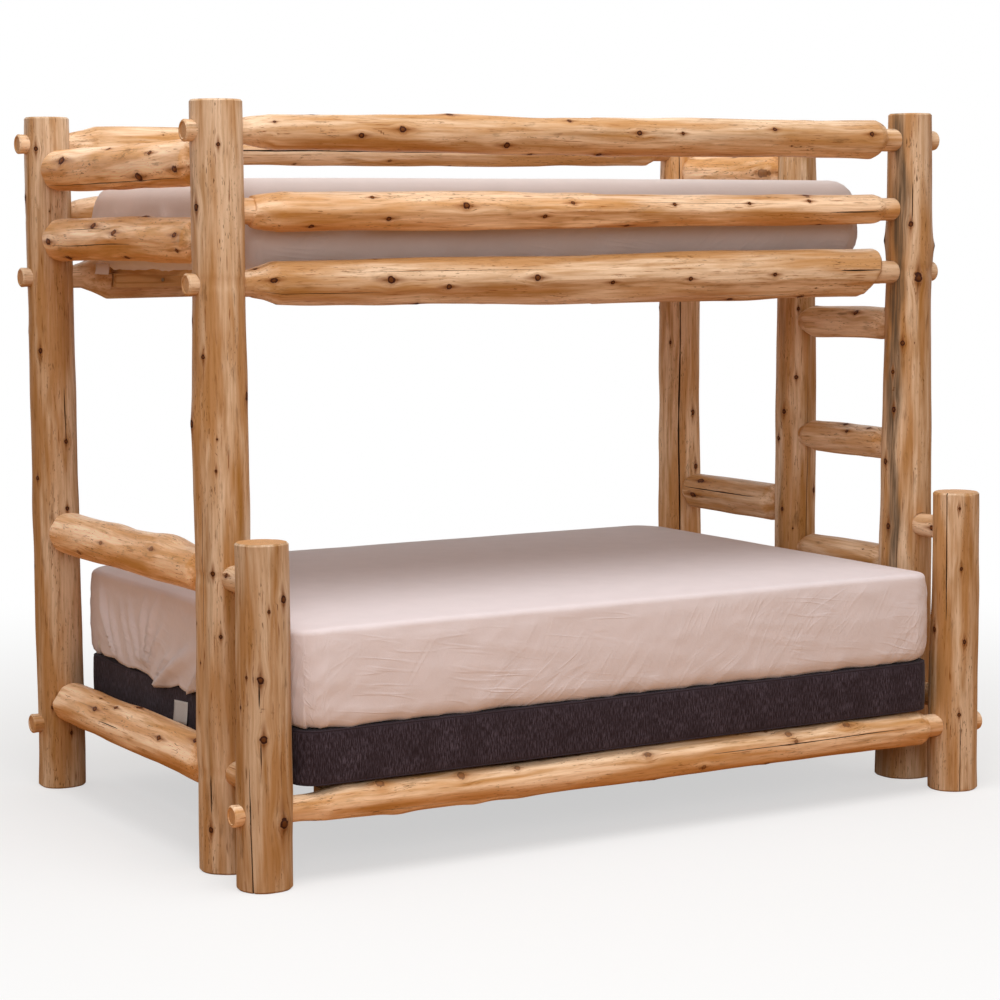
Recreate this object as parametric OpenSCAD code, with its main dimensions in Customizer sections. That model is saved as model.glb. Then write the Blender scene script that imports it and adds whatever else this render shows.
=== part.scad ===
// Log bunk bed, a narrow bunk over a wide bed, with a ladder built into its right end.
// Origin: floor level, under the middle of the bed. +X runs to the ladder end, -Y to the
// open front, +Z up. Peeled logs are joined by round tenons; millimetres throughout.

/* [Bedding] */
// Length of both mattresses and of the box spring
mattress_l = 1905; // [1700:1:2100]
// Width of the upper mattress
upper_mattress_w = 965; // [900:1:990]
// Width of the lower mattress and of the box spring
lower_mattress_w = 1372; // [1340:1:1530]
// Thickness of the upper mattress at its edges
upper_mattress_t = 208; // [120:1:240]
// Thickness of the lower mattress at its edges
lower_mattress_t = 240; // [150:1:280]
// Height by which a mattress top swells above its edges
mattress_crown = 13; // [0:1:25]
// Amount by which a long mattress side is drawn in at its middle
mattress_draw = 5; // [0:1:10]
// Thickness of the box spring
box_spring_t = 133; // [100:1:180]
// Plan radius of the bedding corners
bedding_corner_r = 75; // [40:1:120]
// Thickness of a fitted sheet
sheet_t = 1.6; // [1:0.1:2.5]
// Width of sheet tucked under a mattress
sheet_tuck = 45; // [20:1:70]
// Height by which the lower sheet hangs over the box spring at the left end
sheet_hang = 58; // [0:1:70]
// Gap between a mattress end and the thickest post beside it
mattress_end_gap = 12; // [6:1:60]
// Gap between the upper mattress and the deck rails
mattress_side_gap = 13; // [8:1:40]
// How far the lower mattress stands over the axis of each lower side rail
lower_overhang = 18; // [5:1:30]
// How far forward of centre the lower mattress lies
lower_bedding_forward = 12; // [0:1:16]

/* [Posts] */
// Height of the tall posts
tall_post_h = 1847; // [1830:1:2200]
// Height of the two short front posts
short_post_h = 820; // [780:1:1200]
// Distance from the tall right front post back to the ladder post, axis to axis
ladder_w = 516; // [380:1:600]
// Diameter of the left back post at the floor
back_left_foot_d = 134; // [120:1:160]
// Diameter of the left back post at its top
back_left_top_d = 125; // [110:1:140]
// Diameter of the left tall front post at the floor
front_left_foot_d = 144; // [120:1:160]
// Diameter of the left tall front post at its top
front_left_top_d = 129; // [110:1:140]
// Diameter of the left short post at the floor
short_left_foot_d = 139; // [120:1:160]
// Diameter of the left short post at its top
short_left_top_d = 128; // [110:1:140]
// Diameter of the right back post at the floor
back_right_foot_d = 139; // [120:1:160]
// Diameter of the right back post at its top
back_right_top_d = 126; // [110:1:140]
// Diameter of the ladder post at the floor
ladder_post_foot_d = 130; // [115:1:150]
// Diameter of the ladder post at its top
ladder_post_top_d = 110; // [106:1:130]
// Diameter of the right tall front post at the floor
front_right_foot_d = 162; // [130:1:164]
// Diameter of the right tall front post at its top
front_right_top_d = 121; // [110:1:140]
// Diameter of the right short post at the floor
short_right_foot_d = 138; // [120:1:160]
// Diameter of the right short post at its top
short_right_top_d = 128; // [110:1:140]
// Bevel around a sawn log end
log_end_bevel = 7; // [2:1:12]

/* [Rail heights] */
// Distance from the tall posts' tops down to the guard rails' axes
guard_rail_drop = 73; // [65:1:90]
// Distance from the guard rails' axes down to the middle rails' axes
middle_rail_drop = 188; // [180:1:195]
// Distance from the middle rails' axes down to the deck rails', which carry the upper bunk
deck_rail_drop = 172; // [166:1:200]
// Distance from the guard rails' axes down to the top end rails' axes
end_rail_top_drop = 73; // [68:1:82]
// Distance from the top end rails' axes down to the second end rails' axes
end_rail_second_drop = 185; // [180:1:195]
// Distance from the deck rails' axes down to the highest ladder rung's axis
top_rung_drop = 149; // [120:1:170]
// Height of the lower side rails' axes
lower_rail_z = 180; // [150:1:184]
// Height of the third end rails' axes, beside the lower mattress top
end_rail_third_z = 717; // [700:1:730]
// Height of the bottom end rails' axes
end_rail_bottom_z = 247; // [243:1:290]
// Spacing of the ladder rungs
rung_pitch = 335; // [290:1:345]
// Number of ladder rungs
rung_count = 4; // [3:1:4]

/* [Rail diameters] */
// Front guard rail, diameter at the left
front_guard_left_d = 92; // [80:1:120]
// Front guard rail, diameter at the right
front_guard_right_d = 106; // [80:1:120]
// Front middle rail, diameter at the left
front_middle_left_d = 102; // [76:1:110]
// Front middle rail, diameter at the right
front_middle_right_d = 83; // [76:1:110]
// Front deck rail, diameter at the left
front_deck_left_d = 110; // [104:1:140]
// Front deck rail, diameter at the right
front_deck_right_d = 137; // [104:1:140]
// Front lower side rail, diameter at the left
front_lower_left_d = 83; // [78:1:104]
// Front lower side rail, diameter at the right
front_lower_right_d = 96; // [78:1:104]
// Back guard rail, diameter at the left
back_guard_left_d = 103; // [80:1:120]
// Back guard rail, diameter at the right
back_guard_right_d = 98; // [80:1:120]
// Back middle rail, diameter at the left
back_middle_left_d = 98; // [76:1:110]
// Back middle rail, diameter at the right
back_middle_right_d = 92; // [76:1:110]
// Back deck rail, diameter at the left
back_deck_left_d = 129; // [104:1:140]
// Back deck rail, diameter at the right
back_deck_right_d = 118; // [104:1:140]
// Back lower side rail, diameter at the left
back_lower_left_d = 88; // [78:1:104]
// Back lower side rail, diameter at the right
back_lower_right_d = 94; // [78:1:104]
// Left end rails, at their middle
left_end_rail_d = 116; // [90:1:122]
// Right end rails, at their middle
right_end_rail_d = 112; // [90:1:122]
// Short rails between the front posts
wing_rail_d = 76; // [66:1:90]
// Ladder rungs
rung_d = 92; // [75:1:100]

/* [Joinery] */
// Tenon diameter
tenon_d = 52; // [40:1:54]
// Diameter of the neck that shoulders against a post
neck_d = 62; // [58:1:64]
// How far a through tenon reaches past the post axis
tenon_reach = 86; // [83:1:95]
// Depth of a blind tenon below the post's surface
blind_depth = 53; // [35:1:55]
// Depth of the flat seat sunk in a post for a neck
seat_depth = 11; // [10:1:14]
// Radial clearance of a tenon and of its neck in the post
tenon_clearance = 0.3; // [0.1:0.1:1]
// Length of the pencil point at a side rail's left end
left_point_l = 75; // [40:1:110]
// Length of the bare neck at a side rail's right end
right_neck_l = 38; // [5:1:60]
// Length of the blunt shoulder at a side rail's right end
right_point_l = 28; // [15:1:60]
// Length of the rounded shoulder at both ends of an end rail
end_rail_point_l = 34; // [20:1:60]
// Length of the rounded shoulder at both ends of a wing rail
wing_rail_point_l = 14; // [8:1:20]
// Radial clearance of a screw in its hole
screw_clearance = 0.15; // [0.1:0.05:0.4]
// Shank diameter of the screws that pin the side rail tenons
tenon_screw_d = 8; // [6:1:10]
// Length of those screws under the head
tenon_screw_l = 72; // [60:1:80]

/* [Ledgers and slats] */
// Side of the square ledger strips
ledger_side = 38; // [30:1:42]
// How far a ledger's end stops short of the mattress's end
ledger_inset = 72; // [68:1:200]
// Depth of the sawn flat that a ledger lies against, at the rail's thin end
ledger_flat_depth = 14; // [8:1:18]
// Height of a deck ledger's top over the deck rail's axis
deck_ledger_rise = 8; // [4:1:14]
// Height by which the lower slats stand over the lower side rails
lower_slat_clear = 4; // [3:1:12]
// Slat thickness
slat_t = 19; // [16:1:22]
// Slat width
slat_w = 89; // [60:1:120]
// Number of slats under the upper mattress
deck_slat_count = 11; // [7:1:11]
// Number of slats under the box spring
lower_slat_count = 5; // [3:1:5]
// Gap between a slat's end and the rail beside it
slat_end_gap = 3; // [1:1:6]
// Shank diameter of the ledger and slat screws
small_screw_d = 5; // [3:1:6]
// Length of a ledger screw under the head
ledger_screw_l = 62; // [50:1:70]
// Length of a slat screw under the head
slat_screw_l = 34; // [25:1:38]

/* [Hidden] */
$fn = 48;
END_NAMES = ["top", "second", "third", "bottom"];

// Depth of a tenon screw's recess in a post, and of a small screw's recess in a strip
post_recess = 6;
strip_recess = 4;
// Radial room around a recessed screw head
recess_clearance = 0.4;
// Distance by which a cut runs past what it cuts
past = 1;
// Bare ledger beyond the first and the last slat
slat_margin = 10;
// A knot is a ball of this radius, and stands this far out of its log
knot_r = 19;
knot_out = 4;
// Bevel around a tenon's end
tenon_bevel = 3;
// Where a rail's shoulder turns: the share of its fall that lies in this share of its length
shoulder_turn = 0.3;
// A screw head's full height and the height of its straight rim, and the radius of its flat
// top, as shares of the shank's diameter
head_h = 0.55;
head_rim_h = 0.35;
head_top_r = 0.75;
cedar = "#D9B07C";
sawn_pine = "#E3C79A";

guard_rail_z = tall_post_h - guard_rail_drop;
middle_rail_z = guard_rail_z - middle_rail_drop;
deck_rail_z = middle_rail_z - deck_rail_drop;
end_rail_top_z = guard_rail_z - end_rail_top_drop;
end_rail_second_z = end_rail_top_z - end_rail_second_drop;
first_rung_z = deck_rail_z - top_rung_drop - (rung_count - 1) * rung_pitch;

// Posts: x, y, height, diameter at the floor, diameter at the top
left_thickest = max(back_left_foot_d, front_left_foot_d, short_left_foot_d) / 2;
right_thickest = max(back_right_foot_d, ladder_post_foot_d, front_right_foot_d, short_right_foot_d) / 2;
half_span = mattress_l / 2 + mattress_end_gap + (left_thickest + right_thickest) / 2;
bedding_x = (left_thickest - right_thickest) / 2;
back_reach = max(back_left_foot_d, back_right_foot_d) / 2;
front_reach = max(short_left_foot_d, short_right_foot_d) / 2;
back_deck_r = max(back_deck_left_d, back_deck_right_d) / 2;
front_deck_r = max(front_deck_left_d, front_deck_right_d) / 2;
bunk_depth = upper_mattress_w + 2 * mattress_side_gap + back_deck_r + front_deck_r;
// The lower bed is as deep as its mattress needs, and leaves room between a tall and a short
// front post for a wing rail's two shoulders and as much plain rail
wing_gap = 3 * wing_rail_point_l;
tall_front_reach = max(front_left_foot_d, front_right_foot_d) / 2;
lower_depth = max(
    lower_mattress_w - 2 * lower_overhang, bunk_depth + tall_front_reach + wing_gap + front_reach);
back_y = (lower_depth + front_reach - back_reach) / 2;
front_y = back_y - bunk_depth;
short_y = back_y - lower_depth;
ladder_y = front_y + ladder_w;

BACK_LEFT = [-half_span, back_y, tall_post_h, back_left_foot_d, back_left_top_d];
FRONT_LEFT = [-half_span, front_y, tall_post_h, front_left_foot_d, front_left_top_d];
SHORT_LEFT = [-half_span, short_y, short_post_h, short_left_foot_d, short_left_top_d];
BACK_RIGHT = [half_span, back_y, tall_post_h, back_right_foot_d, back_right_top_d];
LADDER_POST = [half_span, ladder_y, tall_post_h, ladder_post_foot_d, ladder_post_top_d];
FRONT_RIGHT = [half_span, front_y, tall_post_h, front_right_foot_d, front_right_top_d];
SHORT_RIGHT = [half_span, short_y, short_post_h, short_right_foot_d, short_right_top_d];

// Rail ends: length of the bare neck, then length of the shoulder
SIDE_LEFT_END = [0, left_point_l];
SIDE_RIGHT_END = [right_neck_l, right_point_l];
END_RAIL_END = [0, end_rail_point_l];
WING_RAIL_END = [0, wing_rail_point_l];

// A rail: first post, second post, height, diameter at each end, shape of each end, and
// whether its tenons go right through the posts
function side_rail(left, right, z, left_d, right_d, through = true) =
    [left, right, z, left_d, right_d, SIDE_LEFT_END, SIDE_RIGHT_END, through];
function end_rail(back, front, z, d) = [back, front, z, d, d, END_RAIL_END, END_RAIL_END, false];
function wing_rail(back, front, z) =
    [back, front, z, wing_rail_d, wing_rail_d, WING_RAIL_END, WING_RAIL_END, false];

FRONT_GUARD = side_rail(FRONT_LEFT, FRONT_RIGHT, guard_rail_z, front_guard_left_d, front_guard_right_d);
FRONT_MIDDLE =
    side_rail(FRONT_LEFT, FRONT_RIGHT, middle_rail_z, front_middle_left_d, front_middle_right_d, false);
FRONT_DECK = side_rail(FRONT_LEFT, FRONT_RIGHT, deck_rail_z, front_deck_left_d, front_deck_right_d);
FRONT_LOWER = side_rail(SHORT_LEFT, SHORT_RIGHT, lower_rail_z, front_lower_left_d, front_lower_right_d);
BACK_GUARD = side_rail(BACK_LEFT, BACK_RIGHT, guard_rail_z, back_guard_left_d, back_guard_right_d);
BACK_MIDDLE =
    side_rail(BACK_LEFT, BACK_RIGHT, middle_rail_z, back_middle_left_d, back_middle_right_d, false);
BACK_DECK = side_rail(BACK_LEFT, BACK_RIGHT, deck_rail_z, back_deck_left_d, back_deck_right_d);
BACK_LOWER = side_rail(BACK_LEFT, BACK_RIGHT, lower_rail_z, back_lower_left_d, back_lower_right_d);
SIDE_RAILS = [
    FRONT_GUARD, FRONT_MIDDLE, FRONT_DECK, FRONT_LOWER,
    BACK_GUARD, BACK_MIDDLE, BACK_DECK, BACK_LOWER];

END_LEVELS = [end_rail_top_z, end_rail_second_z, end_rail_third_z, end_rail_bottom_z];
WING_LEVELS = [end_rail_third_z, end_rail_bottom_z];
LEFT_END_RAILS = [for (z = END_LEVELS) end_rail(BACK_LEFT, FRONT_LEFT, z, left_end_rail_d)];
RIGHT_END_RAILS = [for (z = END_LEVELS) end_rail(BACK_RIGHT, LADDER_POST, z, right_end_rail_d)];
LEFT_WING_RAILS = [for (z = WING_LEVELS) wing_rail(FRONT_LEFT, SHORT_LEFT, z)];
RIGHT_WING_RAILS = [for (z = WING_LEVELS) wing_rail(FRONT_RIGHT, SHORT_RIGHT, z)];
RUNGS = [
    for (i = [0:rung_count - 1]) end_rail(LADDER_POST, FRONT_RIGHT, first_rung_z + i * rung_pitch, rung_d)];
END_RAILS = concat(LEFT_END_RAILS, RIGHT_END_RAILS, LEFT_WING_RAILS, RIGHT_WING_RAILS, RUNGS);

// The two bunks: back rail, front rail, height of the slat tops, number of slats
deck_slat_top = deck_rail_z + deck_ledger_rise + slat_t;
lower_rail_r = max(front_lower_left_d, front_lower_right_d, back_lower_left_d, back_lower_right_d) / 2;
lower_slat_top = lower_rail_z + lower_rail_r + lower_slat_clear;
DECK = [BACK_DECK, FRONT_DECK, deck_slat_top, deck_slat_count];
LOWER = [BACK_LOWER, FRONT_LOWER, lower_slat_top, lower_slat_count];
ledger_l = mattress_l - 2 * ledger_inset;
slat_run = ledger_l - slat_w - 2 * slat_margin;
function slat_x(bunk, i) = slat_run * ((i - 1) / (bunk[3] - 1) - 0.5);
function gap_x(bunk, i) = (slat_x(bunk, i) + slat_x(bunk, i + 1)) / 2;
function flat_at(rail) = min(rail[3], rail[4]) / 2 - ledger_flat_depth;
function ledger_z(bunk) = bunk[2] - slat_t - ledger_side / 2;
function rail_y(rail) = rail[0][1];

function post_r(post, z) = (post[3] + (post[4] - post[3]) * z / post[2]) / 2;

// Knots that stand out of a log. On a post: height, and direction from +X. On a rail:
// distance from its first post's axis, and direction round it, where 180 is upwards.
BACK_LEFT_KNOTS = [[965, -80], [1215, -140], [232, -130]];
FRONT_LEFT_KNOTS = [[1083, -180], [1150, -45], [1245, -150], [730, -135]];
SHORT_LEFT_KNOTS = [[166, -73], [507, -121], [367, -117], [640, -67]];
BACK_RIGHT_KNOTS = [[960, -85], [790, -75]];
LADDER_POST_KNOTS = [[1155, -125], [767, -60], [710, -160]];
FRONT_RIGHT_KNOTS = [[1330, -105], [1490, -40], [1218, -142], [1037, -158], [710, -170]];
SHORT_RIGHT_KNOTS = [[500, -115], [416, -103], [445, -185]];
GUARD_KNOTS = [[390, -75], [630, -90], [1340, -90], [1940, -115]];
MIDDLE_KNOTS = [[420, -110], [900, -95], [1420, -80]];
DECK_KNOTS = [[470, -90], [1370, -95], [1640, -115]];
LOWER_KNOTS = [[290, -120], [540, -115], [1070, -110], [1240, -90], [1520, -125], [1710, -105]];
END_KNOTS = [[420, 120], [760, 175]];
NO_KNOTS = [];

// Round work

module post_log(post) {
    foot_r = post_r(post, 0);
    top_r = post_r(post, post[2]);
    rotate_extrude() polygon([
        [0, 0], [foot_r - log_end_bevel, 0], [foot_r, log_end_bevel],
        [top_r, post[2] - log_end_bevel], [top_r - log_end_bevel, post[2]], [0, post[2]]]);
}

// A rail along +Z, with its first post's axis at the origin
module rail_log(rail) {
    first_r = post_r(rail[0], rail[2]);
    last_r = post_r(rail[1], rail[2]);
    span = norm([rail[1][0] - rail[0][0], rail[1][1] - rail[0][1]]);
    tenon_r = tenon_d / 2;
    neck_r = neck_d / 2;
    tip = rail[7] ? -tenon_reach : first_r - blind_depth;
    far_tip = span - (rail[7] ? -tenon_reach : last_r - blind_depth);
    seat = first_r - seat_depth;
    far_seat = span - last_r + seat_depth;
    point = first_r + rail[5][0];
    far_point = span - last_r - rail[6][0];
    r = rail[3] / 2;
    far_r = rail[4] / 2;
    shoulder = rail[5][1];
    far_shoulder = rail[6][1];
    turn_r = r - (r - neck_r) * shoulder_turn;
    far_turn_r = far_r - (far_r - neck_r) * shoulder_turn;
    rotate_extrude() polygon([
        [0, tip], [tenon_r - tenon_bevel, tip], [tenon_r, tip + tenon_bevel], [tenon_r, seat],
        [neck_r, seat], [neck_r, point], [turn_r, point + shoulder * (1 - shoulder_turn)],
        [r, point + shoulder], [far_r, far_point - far_shoulder],
        [far_turn_r, far_point - far_shoulder * (1 - shoulder_turn)], [neck_r, far_point],
        [neck_r, far_seat], [tenon_r, far_seat], [tenon_r, far_tip - tenon_bevel],
        [tenon_r - tenon_bevel, far_tip], [0, far_tip]]);
}

// A ball sunk in a log of radius r, at distance z along it
module knot(r, z, direction) {
    rotate([0, 0, direction]) translate([r + knot_out - knot_r, 0, z]) sphere(r = knot_r);
}

module along_rail(rail) {
    run = rail[1] - rail[0];
    translate([rail[0][0], rail[0][1], rail[2]]) rotate([0, 90, atan2(run[1], run[0])]) children();
}

// The hole for a rail's tenon and the seat for its neck, along +X from a post's axis
module rail_socket(post, rail) {
    surface = post_r(post, rail[2]);
    start = rail[7] ? -2 * surface : surface - blind_depth - tenon_clearance;
    translate([start, 0, 0]) rotate([0, 90, 0])
        cylinder(r = tenon_d / 2 + tenon_clearance, h = surface - start);
    translate([surface - seat_depth, 0, 0]) rotate([0, 90, 0])
        cylinder(r = neck_d / 2 + tenon_clearance, h = surface);
}

// A screw along +Z, with the underside of its head at the origin
module screw(d, l) {
    rotate_extrude() polygon([
        [0, -l], [d / 2, d / 2 - l], [d / 2, 0], [d, 0], [d, d * head_rim_h],
        [d * head_top_r, d * head_h], [0, d * head_h]]);
}

module screw_hole(d, l, recess) {
    translate([0, 0, -l - past]) cylinder(r = d / 2 + screw_clearance, h = l + 2 * past);
    cylinder(r = d + recess_clearance, h = recess + d);
}

// Where things go

module at_tenon_screw(post, z) {
    translate([post[0], post[1] + post_r(post, z) - post_recess, z]) rotate([-90, 0, 0]) children();
}

module at_ledger_screw(bunk, side, i) {
    rail = bunk[side];
    inward = side == 0 ? -1 : 1;
    reach = flat_at(rail) + ledger_side - strip_recess;
    translate([gap_x(bunk, i), rail_y(rail) + inward * reach, ledger_z(bunk)])
        rotate([-90 * inward, 0, 0]) children();
}

module at_slat_screw(bunk, side, i) {
    rail = bunk[side];
    inward = side == 0 ? -1 : 1;
    reach = flat_at(rail) + ledger_side / 2;
    translate([slat_x(bunk, i), rail_y(rail) + inward * reach, bunk[2] - strip_recess]) children();
}

// Logs

module post(post, knots) {
    difference() {
        translate([post[0], post[1], 0]) {
            post_log(post);
            for (spot = knots) knot(post_r(post, spot[0]), spot[0], spot[1]);
        }
        for (rail = concat(SIDE_RAILS, END_RAILS)) {
            run = rail[1] - rail[0];
            away = rail[0] == post ? 0 : 180;
            if (rail[0] == post || rail[1] == post)
                translate([post[0], post[1], rail[2]]) rotate([0, 0, atan2(run[1], run[0]) + away])
                    rail_socket(post, rail);
        }
        for (rail = SIDE_RAILS)
            if (rail[0] == post || rail[1] == post)
                at_tenon_screw(post, rail[2]) screw_hole(tenon_screw_d, tenon_screw_l, post_recess);
    }
}

module plain_rail(rail, knots) {
    span = norm([rail[1][0] - rail[0][0], rail[1][1] - rail[0][1]]);
    along_rail(rail) {
        rail_log(rail);
        for (spot = knots)
            knot((rail[3] + (rail[4] - rail[3]) * spot[0] / span) / 2, spot[0], spot[1]);
    }
}

module pinned_rail(rail, knots) {
    difference() {
        plain_rail(rail, knots);
        for (post = [rail[0], rail[1]])
            at_tenon_screw(post, rail[2]) screw_hole(tenon_screw_d, tenon_screw_l, post_recess);
    }
}

// A side rail with a sawn flat and the screw holes of its ledger
module ledger_rail(bunk, side, knots) {
    rail = bunk[side];
    inward = side == 0 ? -1 : 1;
    thickest = max(rail[3], rail[4]);
    difference() {
        pinned_rail(rail, knots);
        translate([0, rail_y(rail) + inward * (flat_at(rail) + thickest / 2), rail[2]])
            cube([ledger_l + 2 * past, thickest, thickest + 2 * past], center = true);
        for (i = [1:bunk[3] - 1])
            at_ledger_screw(bunk, side, i) screw_hole(small_screw_d, ledger_screw_l, 0);
    }
}

module front_guard_rail() { color(cedar) pinned_rail(FRONT_GUARD, GUARD_KNOTS); }
module front_middle_rail() { color(cedar) pinned_rail(FRONT_MIDDLE, MIDDLE_KNOTS); }
module front_deck_rail() { color(cedar) ledger_rail(DECK, 1, DECK_KNOTS); }
module front_lower_rail() { color(cedar) ledger_rail(LOWER, 1, LOWER_KNOTS); }
module back_guard_rail() { color(cedar) pinned_rail(BACK_GUARD, NO_KNOTS); }
module back_middle_rail() { color(cedar) pinned_rail(BACK_MIDDLE, NO_KNOTS); }
module back_deck_rail() { color(cedar) ledger_rail(DECK, 0, NO_KNOTS); }
module back_lower_rail() { color(cedar) ledger_rail(LOWER, 0, NO_KNOTS); }
module back_left_post() { color(cedar) post(BACK_LEFT, BACK_LEFT_KNOTS); }
module front_left_post() { color(cedar) post(FRONT_LEFT, FRONT_LEFT_KNOTS); }
module short_left_post() { color(cedar) post(SHORT_LEFT, SHORT_LEFT_KNOTS); }
module back_right_post() { color(cedar) post(BACK_RIGHT, BACK_RIGHT_KNOTS); }
module ladder_post() { color(cedar) post(LADDER_POST, LADDER_POST_KNOTS); }
module front_right_post() { color(cedar) post(FRONT_RIGHT, FRONT_RIGHT_KNOTS); }
module short_right_post() { color(cedar) post(SHORT_RIGHT, SHORT_RIGHT_KNOTS); }
module left_end_rail(i) { color(cedar) plain_rail(LEFT_END_RAILS[i], END_KNOTS); }
module right_end_rail(i) { color(cedar) plain_rail(RIGHT_END_RAILS[i], NO_KNOTS); }
module left_wing_rail(i) { color(cedar) plain_rail(LEFT_WING_RAILS[i], NO_KNOTS); }
module right_wing_rail(i) { color(cedar) plain_rail(RIGHT_WING_RAILS[i], NO_KNOTS); }
module ladder_rung(i) { color(cedar) plain_rail(RUNGS[i - 1], NO_KNOTS); }

// Ledgers, slats and screws

module ledger(bunk, side) {
    rail = bunk[side];
    inward = side == 0 ? -1 : 1;
    color(sawn_pine) difference() {
        translate([0, rail_y(rail) + inward * (flat_at(rail) + ledger_side / 2), ledger_z(bunk)])
            cube([ledger_l, ledger_side, ledger_side], center = true);
        for (i = [1:bunk[3] - 1])
            at_ledger_screw(bunk, side, i) screw_hole(small_screw_d, ledger_screw_l, strip_recess);
        for (i = [1:bunk[3]])
            at_slat_screw(bunk, side, i) screw_hole(small_screw_d, slat_screw_l, 0);
    }
}

module slat(bunk, i) {
    back_end = rail_y(bunk[0]) - flat_at(bunk[0]) - slat_end_gap;
    front_end = rail_y(bunk[1]) + flat_at(bunk[1]) + slat_end_gap;
    color(sawn_pine) difference() {
        translate([slat_x(bunk, i) - slat_w / 2, front_end, bunk[2] - slat_t])
            cube([slat_w, back_end - front_end, slat_t]);
        for (side = [0, 1])
            at_slat_screw(bunk, side, i) screw_hole(small_screw_d, slat_screw_l, strip_recess);
    }
}

module tenon_screws() {
    color("gray") for (rail = SIDE_RAILS, post = [rail[0], rail[1]])
        at_tenon_screw(post, rail[2]) screw(tenon_screw_d, tenon_screw_l);
}

module ledger_screws() {
    color("gray") for (bunk = [DECK, LOWER], side = [0, 1], i = [1:bunk[3] - 1])
        at_ledger_screw(bunk, side, i) screw(small_screw_d, ledger_screw_l);
}

module slat_screws() {
    color("gray") for (bunk = [DECK, LOWER], side = [0, 1], i = [1:bunk[3]])
        at_slat_screw(bunk, side, i) screw(small_screw_d, slat_screw_l);
}

// Bedding. A slab is [length, width, thickness, edge radius, bulge of its sides, crown,
// draw], and is built as rings of points around it, from its underside to its top. Each
// quarter of a ring is a rounded corner and then a side, and the left side has more points.

// Gap under a soft piece, and between a mattress and its sheet
rest_gap = 0.3;
skin_gap = 0.4;
// Steps around a corner, and points along the back, left, front and right sides
corner_steps = 5;
side_points = [3, 11, 3, 3];
quarter_points = [for (n = side_points) corner_steps + 1 + n];
quarter_start = [for (q = [0:4]) q == 0 ? 0 : sum_to(quarter_points, q)];
ring_points = quarter_start[4];
// Rings of the crown, as shares of the way out to its edge, and of a rounded edge
crown_shares = [0.85, 0.6, 0.3];
edge_angles = [0, 30, 60, 90];
// Folds in the hanging hem, their depth, and how far the hem stands off
fold_count = 3;
fold_depth = 2;
hang_out = 2;
// Plan radius of a corner's innermost ring
least_corner_r = 4;
mattress_edge_r = 38;
mattress_bulge = 4;
box_spring_edge_r = 10;

UPPER_SLAB = [mattress_l, upper_mattress_w, upper_mattress_t, mattress_edge_r, mattress_bulge,
    mattress_crown, mattress_draw];
LOWER_SLAB = [mattress_l, lower_mattress_w, lower_mattress_t, mattress_edge_r, mattress_bulge,
    mattress_crown, mattress_draw];
BOX_SLAB = [mattress_l, lower_mattress_w, box_spring_t, box_spring_edge_r, 0, 0, 0];
soft_lift = rest_gap + sheet_t + skin_gap;
upper_bedding_y = back_y - back_deck_r - mattress_side_gap - upper_mattress_w / 2;
lower_bedding_y = (back_y + short_y) / 2 - lower_bedding_forward;
UPPER_PLACE = [bedding_x, upper_bedding_y, deck_slat_top + soft_lift];
BOX_PLACE = [bedding_x, lower_bedding_y, lower_slat_top + rest_gap];
LOWER_PLACE = BOX_PLACE + [0, 0, box_spring_t + soft_lift];

function sum_to(list, n) = n == 0 ? 0 : list[n - 1] + sum_to(list, n - 1);
function quarter(i) = i < quarter_start[1] ? 0 : i < quarter_start[2] ? 1 : i < quarter_start[3] ? 2 : 3;

// How far along its side a ring's point is, from 0 to 1, and below 0 on a corner
function side_share(i) =
    let (q = quarter(i), k = i - quarter_start[q])
    k <= corner_steps ? -1 : (k - corner_steps) / (side_points[q] + 1);

// Point i of a ring, drawn in by inset from the slab's full outline
function ring_point(slab, i, inset, z) =
    let (
        q = quarter(i),
        share = side_share(i),
        r = max(bedding_corner_r - inset, least_corner_r),
        hx = slab[0] / 2 - inset - r,
        hy = slab[1] / 2 - inset - r,
        sx = [1, -1, -1, 1][q],
        sy = [1, 1, -1, -1][q],
        a = 90 * (q + (i - quarter_start[q]) / corner_steps),
        draw = slab[6] * 4 * share * (1 - share),
        along = 1 - 2 * share)
    share < 0 ? [sx * hx + r * cos(a), sy * hy + r * sin(a), z] :
    q == 0 ? [along * hx, hy + r - draw, z] :
    q == 1 ? [-hx - r, along * hy, z] :
    q == 2 ? [-along * hx, draw - hy - r, z] : [hx + r, -along * hy, z];

// Position of point i among its side's points, counted from 1
function side_place(i) = i - quarter_start[quarter(i)] - corner_steps;
function on_left_side(i) = quarter(i) == 1 && side_place(i) > 0;

// How far the skirt has come out from under the slab at point i: wholly, along the left
// side, apart from its first and its last point
function out_share(i) =
    !on_left_side(i) ? 0 : side_place(i) == 1 || side_place(i) == side_points[1] ? 0.5 : 1;

// How far the hem drops at point i, where it is wholly out: most beyond the middle
function drop_share(i) =
    out_share(i) < 1 ? 0 : sin(180 * ((side_place(i) - 2) / (side_points[1] - 3)) ^ 1.5);

// A ring of a skin at distance off outside a slab. Where the skirt has come out, the
// point goes from its tucked place at inset and z to hung_z, straight under its side.
function skin_ring(slab, off, inset, z, hung_z, drop, hang) = [
    for (i = [0:ring_points - 1])
        let (
            out = hang > 0 ? out_share(i) : 0,
            fold = fold_depth * sin(360 * fold_count * side_share(i)),
            hung = -off - slab[4] - hang_out - fold,
            down = drop * drop_share(i))
        ring_point(slab, i, inset * (1 - out) + hung * out, z * (1 - out) + (hung_z - down) * out)];

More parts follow.
